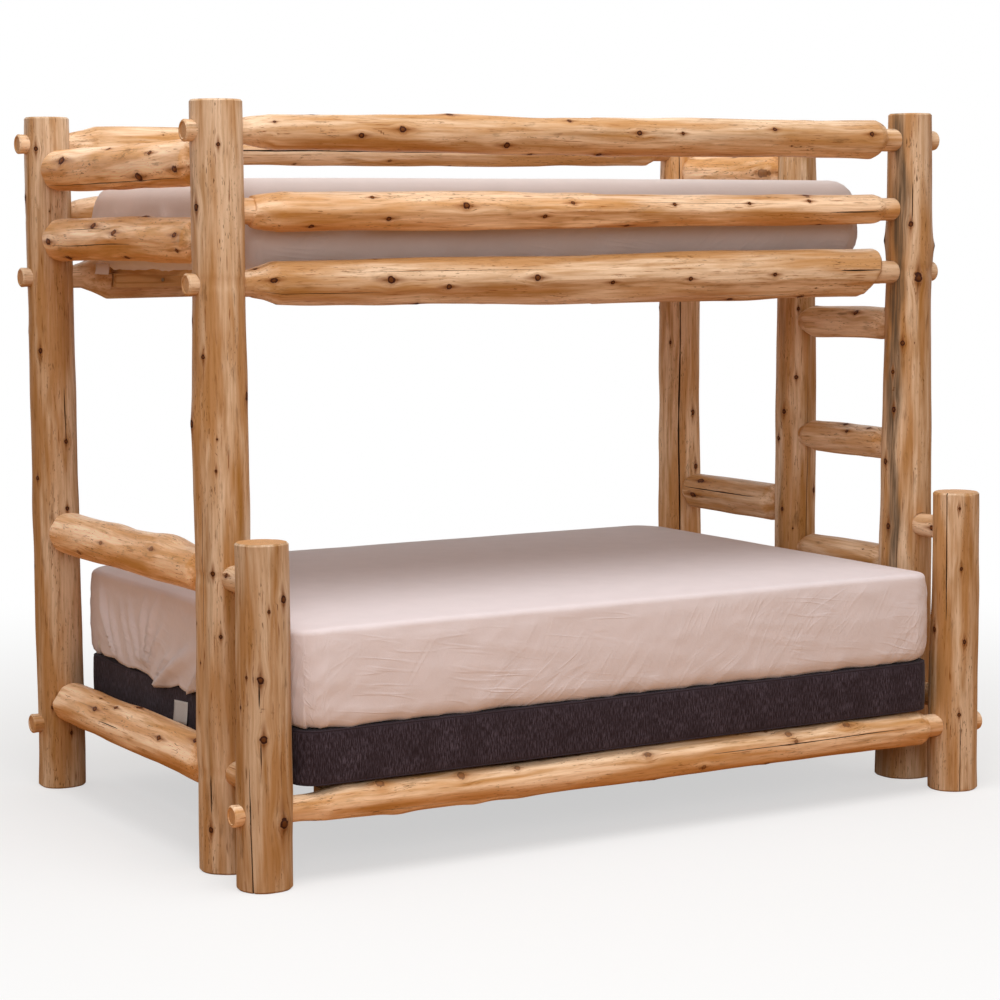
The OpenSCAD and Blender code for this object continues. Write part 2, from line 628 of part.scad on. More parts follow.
// Rings of the skin: hem if it has one, lower edge, upper edge, crown
function skin_rings(slab, off, tuck, hang) = concat(
    tuck > 0 ? [skin_ring(slab, off, slab[3] + tuck, -off, -off, hang, hang)] : [],
    [for (k = [0:3])
        let (a = edge_angles[3 - k], z = slab[3] - (slab[3] + off) * sin(a), hung_z = slab[3] * k / 4)
        skin_ring(slab, off, side_inset(slab, off, a, z), z, hung_z, 0, k < 3 ? hang : 0)],
    [for (a = edge_angles)
        let (z = slab[2] - slab[3] + (slab[3] + off) * sin(a))
        skin_ring(slab, off, side_inset(slab, off, a, z), z, z, 0, 0)],
    [for (share = crown_shares)
        [for (p = skin_ring(slab, off, slab[3], 0, 0, 0, 0))
            [p[0] * share, p[1] * share, slab[2] + off + slab[5] * (1 - share * share)]]]);

function side_inset(slab, off, a, z) =
    slab[3] - (slab[3] + off) * cos(a) - slab[4] * sin(180 * min(1, max(0, z / slab[2])));

// Closes a row of rings into a solid, with a fan at each end
module closed_rings(rings, first_centre, last_centre) {
    n = ring_points;
    last = len(rings) - 1;
    points = concat([for (ring = rings) each ring], [first_centre, last_centre]);
    first_fan = [for (i = [0:n - 1]) [(i + 1) % n, len(points) - 2, i]];
    last_fan = [for (i = [0:n - 1]) [last * n + i, len(points) - 1, last * n + (i + 1) % n]];
    bands = [
        for (k = [0:last - 1], i = [0:n - 1])
            let (a = k * n + i, b = k * n + (i + 1) % n)
            each [[a, a + n, b + n], [a, b + n, b]]];
    polyhedron(points, concat(first_fan, bands, last_fan));
}

function reversed(list) = [for (i = [len(list) - 1:-1:0]) list[i]];
function crown_top(slab, off) = [0, 0, slab[2] + off + slab[5]];

module soft_slab(slab) {
    closed_rings(skin_rings(slab, 0, 0, 0), [0, 0, 0], crown_top(slab, 0));
}

module fitted_sheet(slab, hang) {
    inner = skin_rings(slab, skin_gap, sheet_tuck, hang);
    outer = skin_rings(slab, skin_gap + sheet_t, sheet_tuck, hang);
    closed_rings(concat(reversed(inner), outer),
        crown_top(slab, skin_gap), crown_top(slab, skin_gap + sheet_t));
}

module box_spring() { color("#3C3A44") translate(BOX_PLACE) soft_slab(BOX_SLAB); }
module lower_mattress() { color("#EFEBE6") translate(LOWER_PLACE) soft_slab(LOWER_SLAB); }
module lower_sheet() { color("#E6DBDD") translate(LOWER_PLACE) fitted_sheet(LOWER_SLAB, sheet_hang); }
module upper_mattress() { color("#EFEBE6") translate(UPPER_PLACE) soft_slab(UPPER_SLAB); }
module upper_sheet() { color("#E6DBDD") translate(UPPER_PLACE) fitted_sheet(UPPER_SLAB, 0); }

back_left_post();
front_left_post();
short_left_post();
back_right_post();
ladder_post();
front_right_post();
short_right_post();
front_guard_rail();
front_middle_rail();
front_deck_rail();
front_lower_rail();
back_guard_rail();
back_middle_rail();
back_deck_rail();
back_lower_rail();
for (i = [0:len(END_NAMES) - 1]) {
    left_end_rail(i);
    right_end_rail(i);
}
left_wing_rail(0);  // left_wing_rail_top
left_wing_rail(1);  // left_wing_rail_bottom
right_wing_rail(0);  // right_wing_rail_top
right_wing_rail(1);  // right_wing_rail_bottom
for (i = [1:rung_count])
    ladder_rung(i);
ledger(DECK, 0);  // back_deck_ledger
ledger(DECK, 1);  // front_deck_ledger
ledger(LOWER, 0);  // back_lower_ledger
ledger(LOWER, 1);  // front_lower_ledger
for (i = [1:deck_slat_count])
    slat(DECK, i);
for (i = [1:lower_slat_count])
    slat(LOWER, i);
tenon_screws();
ledger_screws();
slat_screws();
box_spring();
lower_mattress();
lower_sheet();
upper_mattress();
upper_sheet();
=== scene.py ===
"""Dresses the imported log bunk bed: peeled cedar logs with their knots and drying cracks, pine slats,
zinc screws, two mattresses in fitted sheets and an upholstered box spring. Lengths in metres."""

import functools
import itertools
import math

import bmesh
import bpy
import numpy as np
from bpy.props import FloatProperty, FloatVectorProperty, IntProperty, PointerProperty
from bpy.types import Operator, Panel, PropertyGroup
from mathutils import Matrix, Vector
from mathutils.bvhtree import BVHTree


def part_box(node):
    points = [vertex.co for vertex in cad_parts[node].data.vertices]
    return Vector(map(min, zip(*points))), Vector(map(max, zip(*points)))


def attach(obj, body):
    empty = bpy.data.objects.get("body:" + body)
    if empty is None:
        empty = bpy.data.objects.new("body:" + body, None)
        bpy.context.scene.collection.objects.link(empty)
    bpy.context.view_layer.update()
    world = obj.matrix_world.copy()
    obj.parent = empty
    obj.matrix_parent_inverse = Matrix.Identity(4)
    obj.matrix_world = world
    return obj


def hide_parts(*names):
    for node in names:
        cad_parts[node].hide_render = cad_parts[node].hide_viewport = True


bl_info = {
    "name": "Log Bunk Bed",
    "version": (1, 0, 0),
    "blender": (4, 5, 0),
    "location": "View3D > Sidebar > Log Bunk",
    "description": "Dresses a packed log bunk bed in peeled cedar, bedding and upholstery",
    "category": "Add Mesh",
}

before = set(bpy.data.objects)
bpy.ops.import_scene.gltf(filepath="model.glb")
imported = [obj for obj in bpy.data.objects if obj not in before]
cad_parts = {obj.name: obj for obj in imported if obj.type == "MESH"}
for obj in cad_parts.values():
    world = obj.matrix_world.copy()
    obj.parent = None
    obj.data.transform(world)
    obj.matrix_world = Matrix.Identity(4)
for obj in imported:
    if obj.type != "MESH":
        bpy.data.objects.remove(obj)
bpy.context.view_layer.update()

MM = 0.001
BODY = "root"
WHITE = (1, 1, 1, 1)
# A Mix node that mixes colours: the colours are its inputs 6 and 7
COLOURS = {"out": 2, "data_type": "RGBA"}
POSTS = ["back_left_post", "front_left_post", "short_left_post", "back_right_post",
         "ladder_post", "front_right_post", "short_right_post"]
SIDE_RAILS = [f"{side}_{level}_rail" for side in ("front", "back")
              for level in ("guard", "middle", "deck", "lower")]
END_LEVELS = ("top", "second", "third", "bottom")
END_RAILS = [f"{side}_end_rail_{level}" for side in ("left", "right") for level in END_LEVELS]
WING_RAILS = [f"{side}_wing_rail_{level}" for side in ("left", "right") for level in ("top", "bottom")]
RUNGS = [f"ladder_rung_{i}" for i in range(1, 5)]
RAILS = SIDE_RAILS + END_RAILS + WING_RAILS + RUNGS
LEDGERS = {f"{side}_{level}_rail": f"{side}_{level}_ledger"
           for side in ("front", "back") for level in ("deck", "lower")}

# The main knots. Each is: millimetres from the floor, or from the axis of the rail's first post;
# degrees round the log; radius of its dark core; how far the wood rises round it. On a post 0 is
# towards +X and 90 towards +Y. On a rail 180 is up, and -90 is the front or the left.
KNOTS = {
    "back_left_post": [(1760, -140, 7, 1.5), (1215, -140, 7, 2), (965, -80, 6, 2), (865, -160, 6, 1.5),
        (780, -80, 6, 1.5), (230, -130, 5, 1), (155, -85, 5, 1), (1630, 175, 8, 3)],
    "front_left_post": [(1740, -110, 5, 1), (1245, -150, 6, 3), (1150, -45, 9, 3), (975, -125, 4, 1),
        (730, -135, 6, 2), (1085, -180, 9, 4), (580, -120, 5, 1), (110, -150, 7, 1), (1595, -165, 9, 1)],
    "short_left_post": [(505, -120, 9, 1.5), (365, -115, 9, 2), (665, -100, 4, 0.5), (690, -65, 9, 2.5),
        (510, -150, 4, 0.5), (165, -75, 13, 8)],
    "back_right_post": [(960, -85, 8, 3), (790, -75, 8, 3), (1180, -150, 5, 1), (560, -110, 6, 1)],
    "ladder_post": [(1300, -120, 5, 1), (1100, -125, 6, 1.5), (920, -180, 7, 3), (710, -165, 6, 2),
        (765, -60, 8, 3), (480, -120, 6, 1)],
    "front_right_post": [(1400, -105, 13, 4), (1545, -125, 7, 1), (1220, -140, 7, 2), (1035, -160, 7, 2),
        (890, -180, 8, 3), (1485, -40, 10, 5), (1500, 145, 10, 4), (710, -170, 8, 3)],
    "short_right_post": [(780, -120, 4, 0.5), (615, -115, 5, 1), (415, -105, 6, 2), (215, -115, 5, 1),
        (445, -185, 7, 3)],
    "front_guard_rail": [(360, -80, 8, 1.5), (475, -100, 9, 1.5), (620, -160, 9, 3), (770, -55, 8, 2),
        (960, -140, 6, 1.5), (1055, -20, 8, 2), (1160, -100, 7, 1.5), (1295, -100, 5, 1),
        (1590, -115, 6, 1.5), (1910, -105, 7, 2), (135, -120, 4, 0.5)],
    "front_middle_rail": [(230, -40, 7, 2), (435, -65, 6, 1), (395, -135, 5, 1), (650, -105, 9, 2),
        (880, -70, 6, 1), (965, -115, 6, 1), (1140, -25, 7, 2), (1275, -110, 5, 1), (1515, -115, 5, 1),
        (1715, -125, 6, 1)],
    "front_deck_rail": [(125, -100, 7, 1), (435, -95, 10, 2), (595, -75, 7, 1.5), (850, -95, 9, 1.5),
        (1075, -80, 6, 1), (1310, -85, 6, 1), (1580, -90, 6, 1), (520, -20, 9, 3), (1690, -25, 9, 3)],
    "front_lower_rail": [(290, -148, 12, 9), (515, -144, 11, 6), (675, -146, 8, 4), (1055, -130, 10, 5),
        (1225, -60, 7, 2), (1500, -140, 10, 5), (1515, -110, 6, 2), (1690, -142, 10, 6)],
    "back_guard_rail": [(1040, -40, 6, 1), (1250, -10, 5, 1), (740, -15, 5, 1), (420, -95, 6, 1)],
    "back_middle_rail": [(500, -80, 7, 1.5), (1300, -100, 7, 1.5)],
    "back_deck_rail": [(310, -70, 7, 1), (900, -70, 7, 1.5), (1500, -110, 7, 1.5)],
    "back_lower_rail": [(620, 170, 8, 3), (1400, -120, 8, 2)],
    "left_end_rail_top": [(240, -115, 12, 4), (530, -145, 6, 2), (765, -60, 12, 3), (835, -120, 6, 1.5),
        (1000, -75, 9, 3)],
    "left_end_rail_second": [(145, -85, 9, 3), (230, -35, 9, 4), (435, -130, 9, 3), (595, -110, 9, 4),
        (710, -170, 10, 4), (985, -105, 7, 2), (995, -65, 6, 2)],
    "left_end_rail_third": [(465, -105, 6, 1), (790, -125, 7, 2), (300, -60, 8, 2)],
    "left_end_rail_bottom": [(370, -125, 7, 2), (485, -150, 6, 2), (575, -180, 8, 3), (815, -120, 7, 2),
        (1010, -150, 9, 4)],
    "right_end_rail_top": [(510, -84, 13, 4), (330, -150, 6, 1), (560, -150, 5, 1)],
    "right_end_rail_third": [(155, -85, 8, 3), (175, -135, 8, 3)],
    "ladder_rung_3": [(295, -125, 7, 2), (370, -155, 7, 2)],
    "ladder_rung_4": [(330, -130, 9, 2)],
    "left_wing_rail_top": [(85, -110, 7, 1.5)],
    "right_wing_rail_top": [(150, -90, 8, 1)],
}

# Logs whose knots are nearly as pale as the wood
PALE_KNOTS = ("front_lower_rail", "right_end_rail_top", "back_guard_rail", "left_end_rail_third")

# The main drying cracks: degrees round the log, from and to in millimetres, width
CRACKS = {
    "back_left_post": [(-84, 965, 1115, 2.2), (-172, 1350, 1847, 1.6), (60, 0, 900, 3)],
    "front_left_post": [(-146, 150, 240, 3), (95, 300, 1847, 3.5), (-158, 560, 900, 1.4)],
    "short_left_post": [(-143, 0, 300, 2.6), (-118, 300, 360, 2.4), (-121, 440, 500, 2), (40, 0, 820, 3)],
    "back_right_post": [(-124, 0, 1847, 3.4), (30, 500, 1847, 3)],
    "ladder_post": [(-95, 200, 1100, 2), (70, 0, 1847, 3)],
    "front_right_post": [(-127, 1550, 1660, 2.2), (-150, 60, 700, 1.8), (40, 0, 1500, 3.6)],
    "short_right_post": [(-146, 470, 820, 2.4), (-108, 0, 200, 1.6), (75, 0, 820, 3)],
    "front_guard_rail": [(95, 200, 1800, 3.2)],
    "front_middle_rail": [(-92, 1780, 1950, 2.2), (100, 300, 1500, 3)],
    "front_deck_rail": [(-95, 1800, 1935, 2.4), (-60, 90, 420, 1.6), (180, 500, 1700, 3)],
    "front_lower_rail": [(-110, 1250, 1880, 1.8), (30, 200, 1200, 2.6)],
    "back_guard_rail": [(-75, 150, 1250, 3.2)],
    "back_middle_rail": [(-100, 500, 1700, 3)],
    "back_deck_rail": [(-100, 110, 1250, 3.6)],
    "back_lower_rail": [(170, 300, 1500, 3)],
    "left_end_rail_top": [(-42, 90, 1000, 2.4)],
    "left_end_rail_second": [(-75, 160, 700, 2), (-120, 250, 560, 1.6)],
    "left_end_rail_third": [(60, 150, 950, 3)],
    "left_end_rail_bottom": [(-95, 420, 560, 1.8), (80, 150, 950, 3)],
    "right_end_rail_top": [(90, 100, 500, 2.6)],
    "right_end_rail_third": [(-110, 100, 480, 2)],
}

# Low swellings of a log: millimetres along it, degrees, half length, height
SWELLINGS = {
    "left_end_rail_third": [(800, 178, 95, 10), (930, 180, 60, -5), (300, 0, 160, 3), (420, 180, 90, 3)],
    "left_end_rail_bottom": [(1030, 180, 45, 5), (560, 180, 90, 4)],
    "left_end_rail_top": [(1010, 180, 60, 3), (250, 180, 80, 3)],
    "left_end_rail_second": [(650, 180, 110, 4), (1050, -90, 40, 4)],
    "front_lower_rail": [(215, 180, 30, 7), (130, 0, 150, -5), (295, -150, 55, 6), (480, 180, 330, 6),
        (346, 0, 35, 6), (560, 0, 35, 5), (690, 0, 45, 4), (1000, 0, 120, 4), (1690, -150, 60, 4)],
    "front_guard_rail": [(620, 180, 140, 4), (760, 0, 160, 4)],
    "front_deck_rail": [(900, 0, 200, 4), (1500, 0, 160, 4)],
    "front_right_post": [(1487, -39, 60, 4), (1500, 146, 60, 4), (900, -175, 70, 4)],
    "front_left_post": [(1090, -178, 70, 4), (620, -40, 80, 3)],
}

# Stained stripes of a log: degrees, from, to, half width round the log in millimetres, and how
# strong: above 0 grey stain, below 0 amber inner bark
STAINS = {
    "front_right_post": [(-158, 500, 1847, 20, 1.3), (-75, 0, 1300, 30, -0.35)],
    "front_left_post": [(-72, 0, 1000, 14, -0.9), (-150, 60, 900, 12, 0.35)],
    "left_end_rail_second": [(-90, 950, 1120, 30, 0.5), (-60, 100, 1000, 12, -0.8)],
    "left_end_rail_third": [(-60, 100, 1000, 18, -0.7)],
    "left_end_rail_bottom": [(-50, 100, 1000, 16, -0.7)],
    "left_end_rail_top": [(-30, 80, 1100, 12, -0.8)],
    "ladder_post": [(-80, 0, 1847, 26, -0.9), (-170, 500, 1300, 8, 0.4)],
    "back_right_post": [(-150, 0, 1500, 10, -0.6)],
    "back_left_post": [(-165, 0, 1847, 9, -0.5)],
    "front_middle_rail": [(-70, 60, 1900, 10, -0.6)],
    "front_deck_rail": [(-75, 500, 1850, 9, -0.6)],
    "front_guard_rail": [(-95, 900, 1800, 8, 0.3), (-50, 130, 1000, 16, -0.9)],
    "front_lower_rail": [(-115, 200, 1850, 7, -0.6)],
}

# How a rail's shoulders are cut, first at its first post and then at its last: below 1 rounded,
# above 1 hollow; how many millimetres earlier the cut starts on the rail's underside; and how much
# longer the neck is
SHOULDERS = {
    "front_guard_rail": ((0.9, 8, 0), (0.38, 12, 0)),
    "front_middle_rail": ((0.3, -6, 20), (0.6, 6, 0)),
    "front_deck_rail": ((0.95, 14, 0), (0.7, 52, 0)),
    "front_lower_rail": ((1.6, -24, 34), (0.5, -8, 0)),
    "back_guard_rail": ((1.0, -10, 0), (0.8, 8, 0)),
    "back_deck_rail": ((1.1, 26, 0), (0.8, 8, 0)),
}
END_SHOULDERS = ((0.42, 0, 0), (0.8, 6, 0))
OTHER_SHOULDERS = ((0.6, 4, 0), (0.6, 4, 0))

# Flats left by the drawknife: degrees, and how deep in millimetres
FLATS = {
    "back_guard_rail": [(-115, 7), (-45, 5), (60, 4)],
    "back_deck_rail": [(-110, 8), (-50, 9), (150, 4)],
    "front_middle_rail": [(-135, 3), (-65, 3)],
    "front_deck_rail": [(-125, 4), (-60, 5), (-95, 2)],
    "ladder_rung_3": [(-30, 6), (-150, 3)],
    "ladder_rung_4": [(-60, 4)],
    "right_end_rail_third": [(-60, 4)],
    "ladder_post": [(-70, 5), (-130, 3)],
    "front_lower_rail": [(-140, 3)],
    "left_end_rail_second": [(-130, 6), (-70, 5)],
    "left_end_rail_bottom": [(-120, 5)],
    "left_end_rail_third": [(-125, 5)],
    "short_right_post": [(-100, 3)],
}

# How dark a log is against the others, below 0 lighter. Partly the log's own tone and partly painted light:
# most rails are made lighter, as if lit from above, and most posts darker, as their upright sides catch less
# light
LOG_TONES_AND_PAINTED_LIGHT = {"left_end_rail_second": -1.8, "left_end_rail_top": -1.9, "left_end_rail_bottom": -1.6,
         "left_end_rail_third": -2.1, "right_end_rail_top": -1.6,
         "front_lower_rail": -1.1, "front_middle_rail": -0.9, "front_deck_rail": 0.2,
         "front_guard_rail": -0.1, "front_left_post": 0.6, "short_left_post": 1.1, "back_left_post": 0.7,
         "back_right_post": -0.4, "front_right_post": 0.6, "short_right_post": 0.6, "ladder_post": 0.5}

# The hem of the lower sheet's left end: millimetres behind the bed's middle, and above the mattress's
# underside
LEFT_HEM = [(-600, 10), (-450, -5), (-330, -20), (-230, -5), (-150, 2), (-104, 6), (-64, -6), (-23, -4),
            (7, 6), (60, -8), (105, -16), (145, -16), (180, -4), (220, 4), (295, 8), (350, 2), (410, 6),
            (445, 14), (525, 10), (600, 30)]

# Folds there, from where the hem is caught to where they end: behind the middle and up from the
# floor for each end, half width and height, all in millimetres
END_FOLDS = [(215, 395, 228, 600, 18, 10), (207, 398, 135, 610, 15, 10), (200, 392, 85, 530, 13, 8),
             (250, 400, 345, 560, 16, 8), (150, 355, 30, 475, 14, 10), (147, 350, -130, 500, 30, 15),
             (420, 388, 548, 590, 17, 11), (395, 380, 470, 560, 14, 7), (310, 375, 400, 560, 13, 6),
             (-55, 362, -260, 520, 22, 11), (-330, 350, -440, 560, 16, 8), (-300, 350, -210, 560, 14, 7)]


def linear(code):
    """The linear colour of an sRGB hex code."""
    levels = [int(code[i:i + 2], 16) / 255 for i in (1, 3, 5)]
    return tuple(v / 12.92 if v <= 0.04045 else ((v + 0.055) / 1.055) ** 2.4 for v in levels)


def rgba(colour):
    return (*colour, 1.0)


def colour_property(name, description, code):
    return FloatVectorProperty(name=name, description=description, subtype="COLOR", size=3,
                               min=0, max=1, default=linear(code))


def length_property(name, description, millimetres):
    return FloatProperty(name=name, description=description, unit="LENGTH",
                         default=millimetres * MM)


class LogSizes(PropertyGroup):
    columns: IntProperty(name="Columns", description="Faces round a log", default=66)
    ring_step: length_property("Ring step", "Distance between a log's rings", 7)
    shoulder_step: length_property("Shoulder step", "Distance between rings over a shoulder", 2.6)
    wobble: length_property("Wobble", "How far a log's side leaves a straight taper", 2.8)
    lumps: length_property("Lumps", "Height of the low lumps on a log", 1.8)
    facets: length_property("Facets", "Height of the drawknife's facets", 0.55)
    bend: length_property("Bend", "How far a log's axis bows", 3)
    ragged: length_property("Ragged shoulder", "How unevenly a rail's shoulder is cut", 7)
    crack_depth: FloatProperty(name="Crack depth", description="Depth of a crack over its width", default=2.2)
    hairlines: IntProperty(name="Hairlines", description="Fine cracks on each log", default=4)
    small_knots: FloatProperty(name="Small knots", description="Small knots on each metre of log", default=5)
    socket_gap: length_property("Socket gap", "Gap between a tenon and its socket", 0.7)
    bevel: length_property("Bevel", "Bevel round a post's ends", 4.5)
    dish: length_property("Dish", "Depth of the hollow in a tenon's end", 2.4)
    crease: FloatProperty(name="Crease", description="Angle above which an edge shades as sharp",
                          subtype="ANGLE", default=math.radians(27))


class Finishes(PropertyGroup):
    cedar_pale: colour_property("Pale cedar", "Sapwood where the knife has cut deepest", "#F2D2B1")
    cedar_honey: colour_property("Honey cedar", "Sapwood", "#CA9764")
    cedar_amber: colour_property("Amber cedar", "Inner bark left in the hollows", "#A87128")
    cedar_streak: colour_property("Cedar streak", "Brown streaks along the grain", "#6A441A")
    knot_core: colour_property("Knot core", "Dark heart of a knot", "#3E1804")
    knot_rim: colour_property("Knot rim", "Wood round a knot", "#8C4F16")
    crack: colour_property("Crack", "Inside of a drying crack", "#2A180D")
    stain: colour_property("Stain", "Grey stain on cedar", "#6C5843")
    end_pale: colour_property("End grain", "Sawn end grain", "#D6A06A")
    end_ring: colour_property("Growth ring", "Late wood of a growth ring", "#B07A45")
    pine: colour_property("Pine", "Planed pine", "#D9B482")
    pine_ring: colour_property("Pine late wood", "Late wood in planed pine", "#B98852")
    zinc: colour_property("Zinc", "Zinc plate", "#B9B7B0")
    cotton: colour_property("Cotton", "Lower fitted sheet", "#EADEE0")
    # The upper sheet's cotton is the lower sheet's made darker and warmer: painted shade under the rails
    upper_cotton_painted_shade: colour_property("Upper cotton", "Upper fitted sheet", "#DCCECA")
    ticking: colour_property("Ticking", "Mattress cover", "#EFEAE4")
    tape: colour_property("Tape", "Tape bound round a mattress edge", "#DAD5CE")
    charcoal: colour_property("Charcoal", "Box spring cloth", "#2C2025")
    charcoal_fleck: colour_property("Charcoal fleck", "Pale yarn in the box spring cloth", "#665C6A")
    tag: colour_property("Tag", "Blank care tag", "#D9D4D2")


class BeddingSizes(PropertyGroup):
    top_edge: length_property("Top edge", "Radius of the lower mattress's top edge", 13)
    upper_top_edge: length_property("Upper top edge", "Radius of the upper mattress's edges", 68)
    bottom_edge: length_property("Bottom edge", "Radius of the lower mattress's bottom edge", 34)
    corner: length_property("Corner", "Plan radius of the lower mattress's corners", 75)
    upper_corner: length_property("Upper corner", "Plan radius of the upper mattress's corners", 80)
    crown: length_property("Crown", "Swell of the lower mattress's top", 13)
    upper_crown: length_property("Upper crown", "Swell of the upper mattress's top", 4)
    puff: length_property("Puff", "How far the upper mattress stands over its nominal thickness", 5)
    squeeze: length_property("Squeeze", "How much the lower mattress's ends thin, above and below", 5)
    bulge: length_property("Bulge", "Swell of a mattress's side", 5)
    draw: length_property("Draw", "How far a long side is drawn in at its middle", 5)
    tuck: length_property("Tuck", "Sheet turned under the mattress", 45)
    cloth: length_property("Cloth", "Thickness of a sheet", 1.2)
    folds: length_property("Folds", "Depth of a sheet's slanting folds", 2.8)
    gathers: length_property("Gathers", "Depth of the gathers over a sheet's hem", 7)
    cloth_step: length_property("Cloth step", "Spacing of a sheet's points along it", 13.6)
    cross_step: length_property("Cross step", "Spacing of a sheet's points across it", 8.5)
    spring_corner: length_property("Box spring corner", "Plan radius of the box spring's corners", 62)
    spring_edge: length_property("Box spring edge", "Radius of the box spring's edges", 9)
    piping: length_property("Piping", "Radius of a tape edge or piping", 3.2)


class Stage(PropertyGroup):
    eye: FloatVectorProperty(name="Camera", description="Place of the camera", subtype="TRANSLATION",
                             unit="LENGTH", default=(-3.5756, -6.1253, 1.5531))
    turn: FloatProperty(name="Turn", description="Camera's turn from +Y towards +X", subtype="ANGLE",
                        default=math.radians(30.2252))
    tilt: FloatProperty(name="Tilt", description="How far the camera looks down", subtype="ANGLE",
                        default=math.radians(6.0777))
    roll: FloatProperty(name="Roll", description="The camera's roll", subtype="ANGLE",
                        default=math.radians(0.3185))
    lens: FloatProperty(name="Lens", description="Focal length in millimetres", default=93.506)
    sky: FloatProperty(name="Room light", description="Strength of the light from all round", default=0.43)
    key: FloatProperty(name="Key light", description="Power of the large lamp overhead", default=225)
    fill: FloatProperty(name="Fill light", description="Power of the lamp at the front", default=87)
    room: colour_property("Room", "Colour of the light from all round", "#FFFAF4")
    bounce: colour_property("Floor bounce", "Colour of the light that the floor throws back", "#B67F3E")


def settings(name):
    return getattr(bpy.context.scene, "bunk_" + name)


# Meshes and nodes


def add(tree, kind, *values, out=0, **options):
    """Adds a node and gives back one of its outputs, or all where out is None. The kind may leave out
    ShaderNode and may end in the node's operation or interpolation. Values go to its inputs in order,
    or to those that a dict names: numbers, colours, the outputs that feed them, or a list of outputs
    for one input."""
    kind, _, mode = kind.partition(" ")
    node = tree.nodes.new(kind if "Node" in kind else "ShaderNode" + kind)
    if mode:
        setattr(node, "operation" if hasattr(node, "operation") else "interpolation_type", mode)
    for name, value in options.items():
        setattr(node, name, value)
    given = {}
    for place, value in enumerate(values):
        given.update(value if isinstance(value, dict) else {place: value})
    for place, value in given.items():
        for part in value if isinstance(value, list) else [value]:
            if isinstance(part, bpy.types.NodeSocket):
                tree.links.new(part, node.inputs[place])
            else:
                node.inputs[place].default_value = part
    return node.outputs if out is None else node.outputs[out]


def new_material(name, **shader):
    """A material, its tree's add and its Principled shader, with the shader's uniform values set."""
    material = bpy.data.materials.new(name)
    material.use_nodes = True
    principled = material.node_tree.nodes["Principled BSDF"]
    for socket, value in shader.items():
        principled.inputs[socket.replace("_", " ")].default_value = value
    return material, functools.partial(add, material.node_tree), principled


def coat(material, shader, colour, level, height, strength, distance):
    """Ends a material: its colour at a level of lightness, and a bump of a height."""
    tree = material.node_tree
    if level is not None:
        colour = add(tree, "HueSaturation", {"Color": colour, "Value": level})
    tree.links.new(colour, shader.inputs["Base Color"])
    bump = add(tree, "Bump", {"Height": height, "Strength": strength, "Distance": distance})
    tree.links.new(bump, shader.inputs["Normal"])
    return material


def noise(points, seed):
    """Smooth noise from -1 to 1 at rows of coordinates, the same for the same seed."""
    points = np.asarray(points, float)
    cell = np.floor(points).astype(np.int64)
    share = points - cell
    share = share * share * (3 - 2 * share)
    total = np.zeros(points.shape[:-1])
    primes = (374761393, 668265263, 1274126177)
    for corner in itertools.product((0, 1), repeat=points.shape[-1]):
        key = np.full(points.shape[:-1], seed * 362437 + 12345, np.int64)
        weight = np.ones(points.shape[:-1])
        for k, step in enumerate(corner):
            key = key + (cell[..., k] + step) * primes[k]
            weight = weight * (share[..., k] if step else 1 - share[..., k])
        key = key & 0xFFFFFFFF
        key = ((key ^ (key >> 13)) * 1103515245) & 0xFFFFFFFF
        key = ((key ^ (key >> 15)) * 668265263) & 0xFFFFFFFF
        total += weight * ((key ^ (key >> 16)) / 2.0 ** 31 - 1)
    return total


def stack(*columns):
    return np.stack(np.broadcast_arrays(*columns), axis=-1)


def smooth_step(x):
    x = np.clip(x, 0, 1)
    return x * x * (3 - 2 * x)


def mesh_object(name, points, faces, materials, smooth=True, edges=()):
    mesh = bpy.data.meshes.new(name)
    mesh.from_pydata(np.asarray(points).tolist(), list(edges), faces)
    mesh.update()
    if smooth:
        mesh.shade_smooth()
    for material in materials:
        mesh.materials.append(material)
    thing = bpy.data.objects.new(name, mesh)
    bpy.context.scene.collection.objects.link(thing)
    return thing


def grid_faces(rows, columns, closed=False, start=0):
    """Faces of a grid of points, each row's last column joined to its first if closed."""
    last = columns if closed else columns - 1
    i, j = np.meshgrid(np.arange(rows - 1), np.arange(last), indexing="ij")
    a = i * columns + j
    b = i * columns + (j + 1) % columns
    return (np.stack([a, b, b + columns, a + columns], -1).reshape(-1, 4) + start).tolist()


def vertex_array(mesh):
    points = np.empty(len(mesh.vertices) * 3)
    mesh.vertices.foreach_get("co", points)
    return points.reshape(-1, 3)


def face_outwards(mesh, join=0.0):
    """Turns a mesh's faces outwards, after joining the points that lie within this distance."""
    work = bmesh.new()
    work.from_mesh(mesh)
    if join:
        bmesh.ops.remove_doubles(work, verts=work.verts, dist=join)
    bmesh.ops.recalc_face_normals(work, faces=work.faces)
    work.to_mesh(mesh)
    work.free()


def set_attribute(mesh, name, values):
    values = np.asarray(values, np.float32)
    kind = "FLOAT_VECTOR" if values.ndim == 2 else "FLOAT"
    attribute = mesh.attributes.new(name, kind, "POINT")
    attribute.data.foreach_set("vector" if values.ndim == 2 else "value", values.ravel())


def baked(thing):
    """Swaps an object's mesh for its evaluated one, and takes its modifiers off."""
    graph = bpy.context.evaluated_depsgraph_get()
    mesh = bpy.data.meshes.new_from_object(thing.evaluated_get(graph))
    thing.modifiers.clear()
    thing.data = mesh
    return thing


def finish_piece(thing, slot, *nodes):
    """Hands a piece to the frame: its body and the CAD nodes that it replaces. Its slot is not used."""
    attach(thing, BODY)
    if nodes:
        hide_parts(*nodes)
    return thing


# Logs

# A log's directions by the axis that it lies along: along it, and two across it
DIRECTIONS = (
    ((1, 0, 0), (0, 0, -1), (0, 1, 0)),
    ((0, -1, 0), (0, 0, -1), (1, 0, 0)),
    ((0, 0, 1), (1, 0, 0), (0, 1, 0)),
)
END_SLICE = 0.5 * MM
RAY_START = 0.2
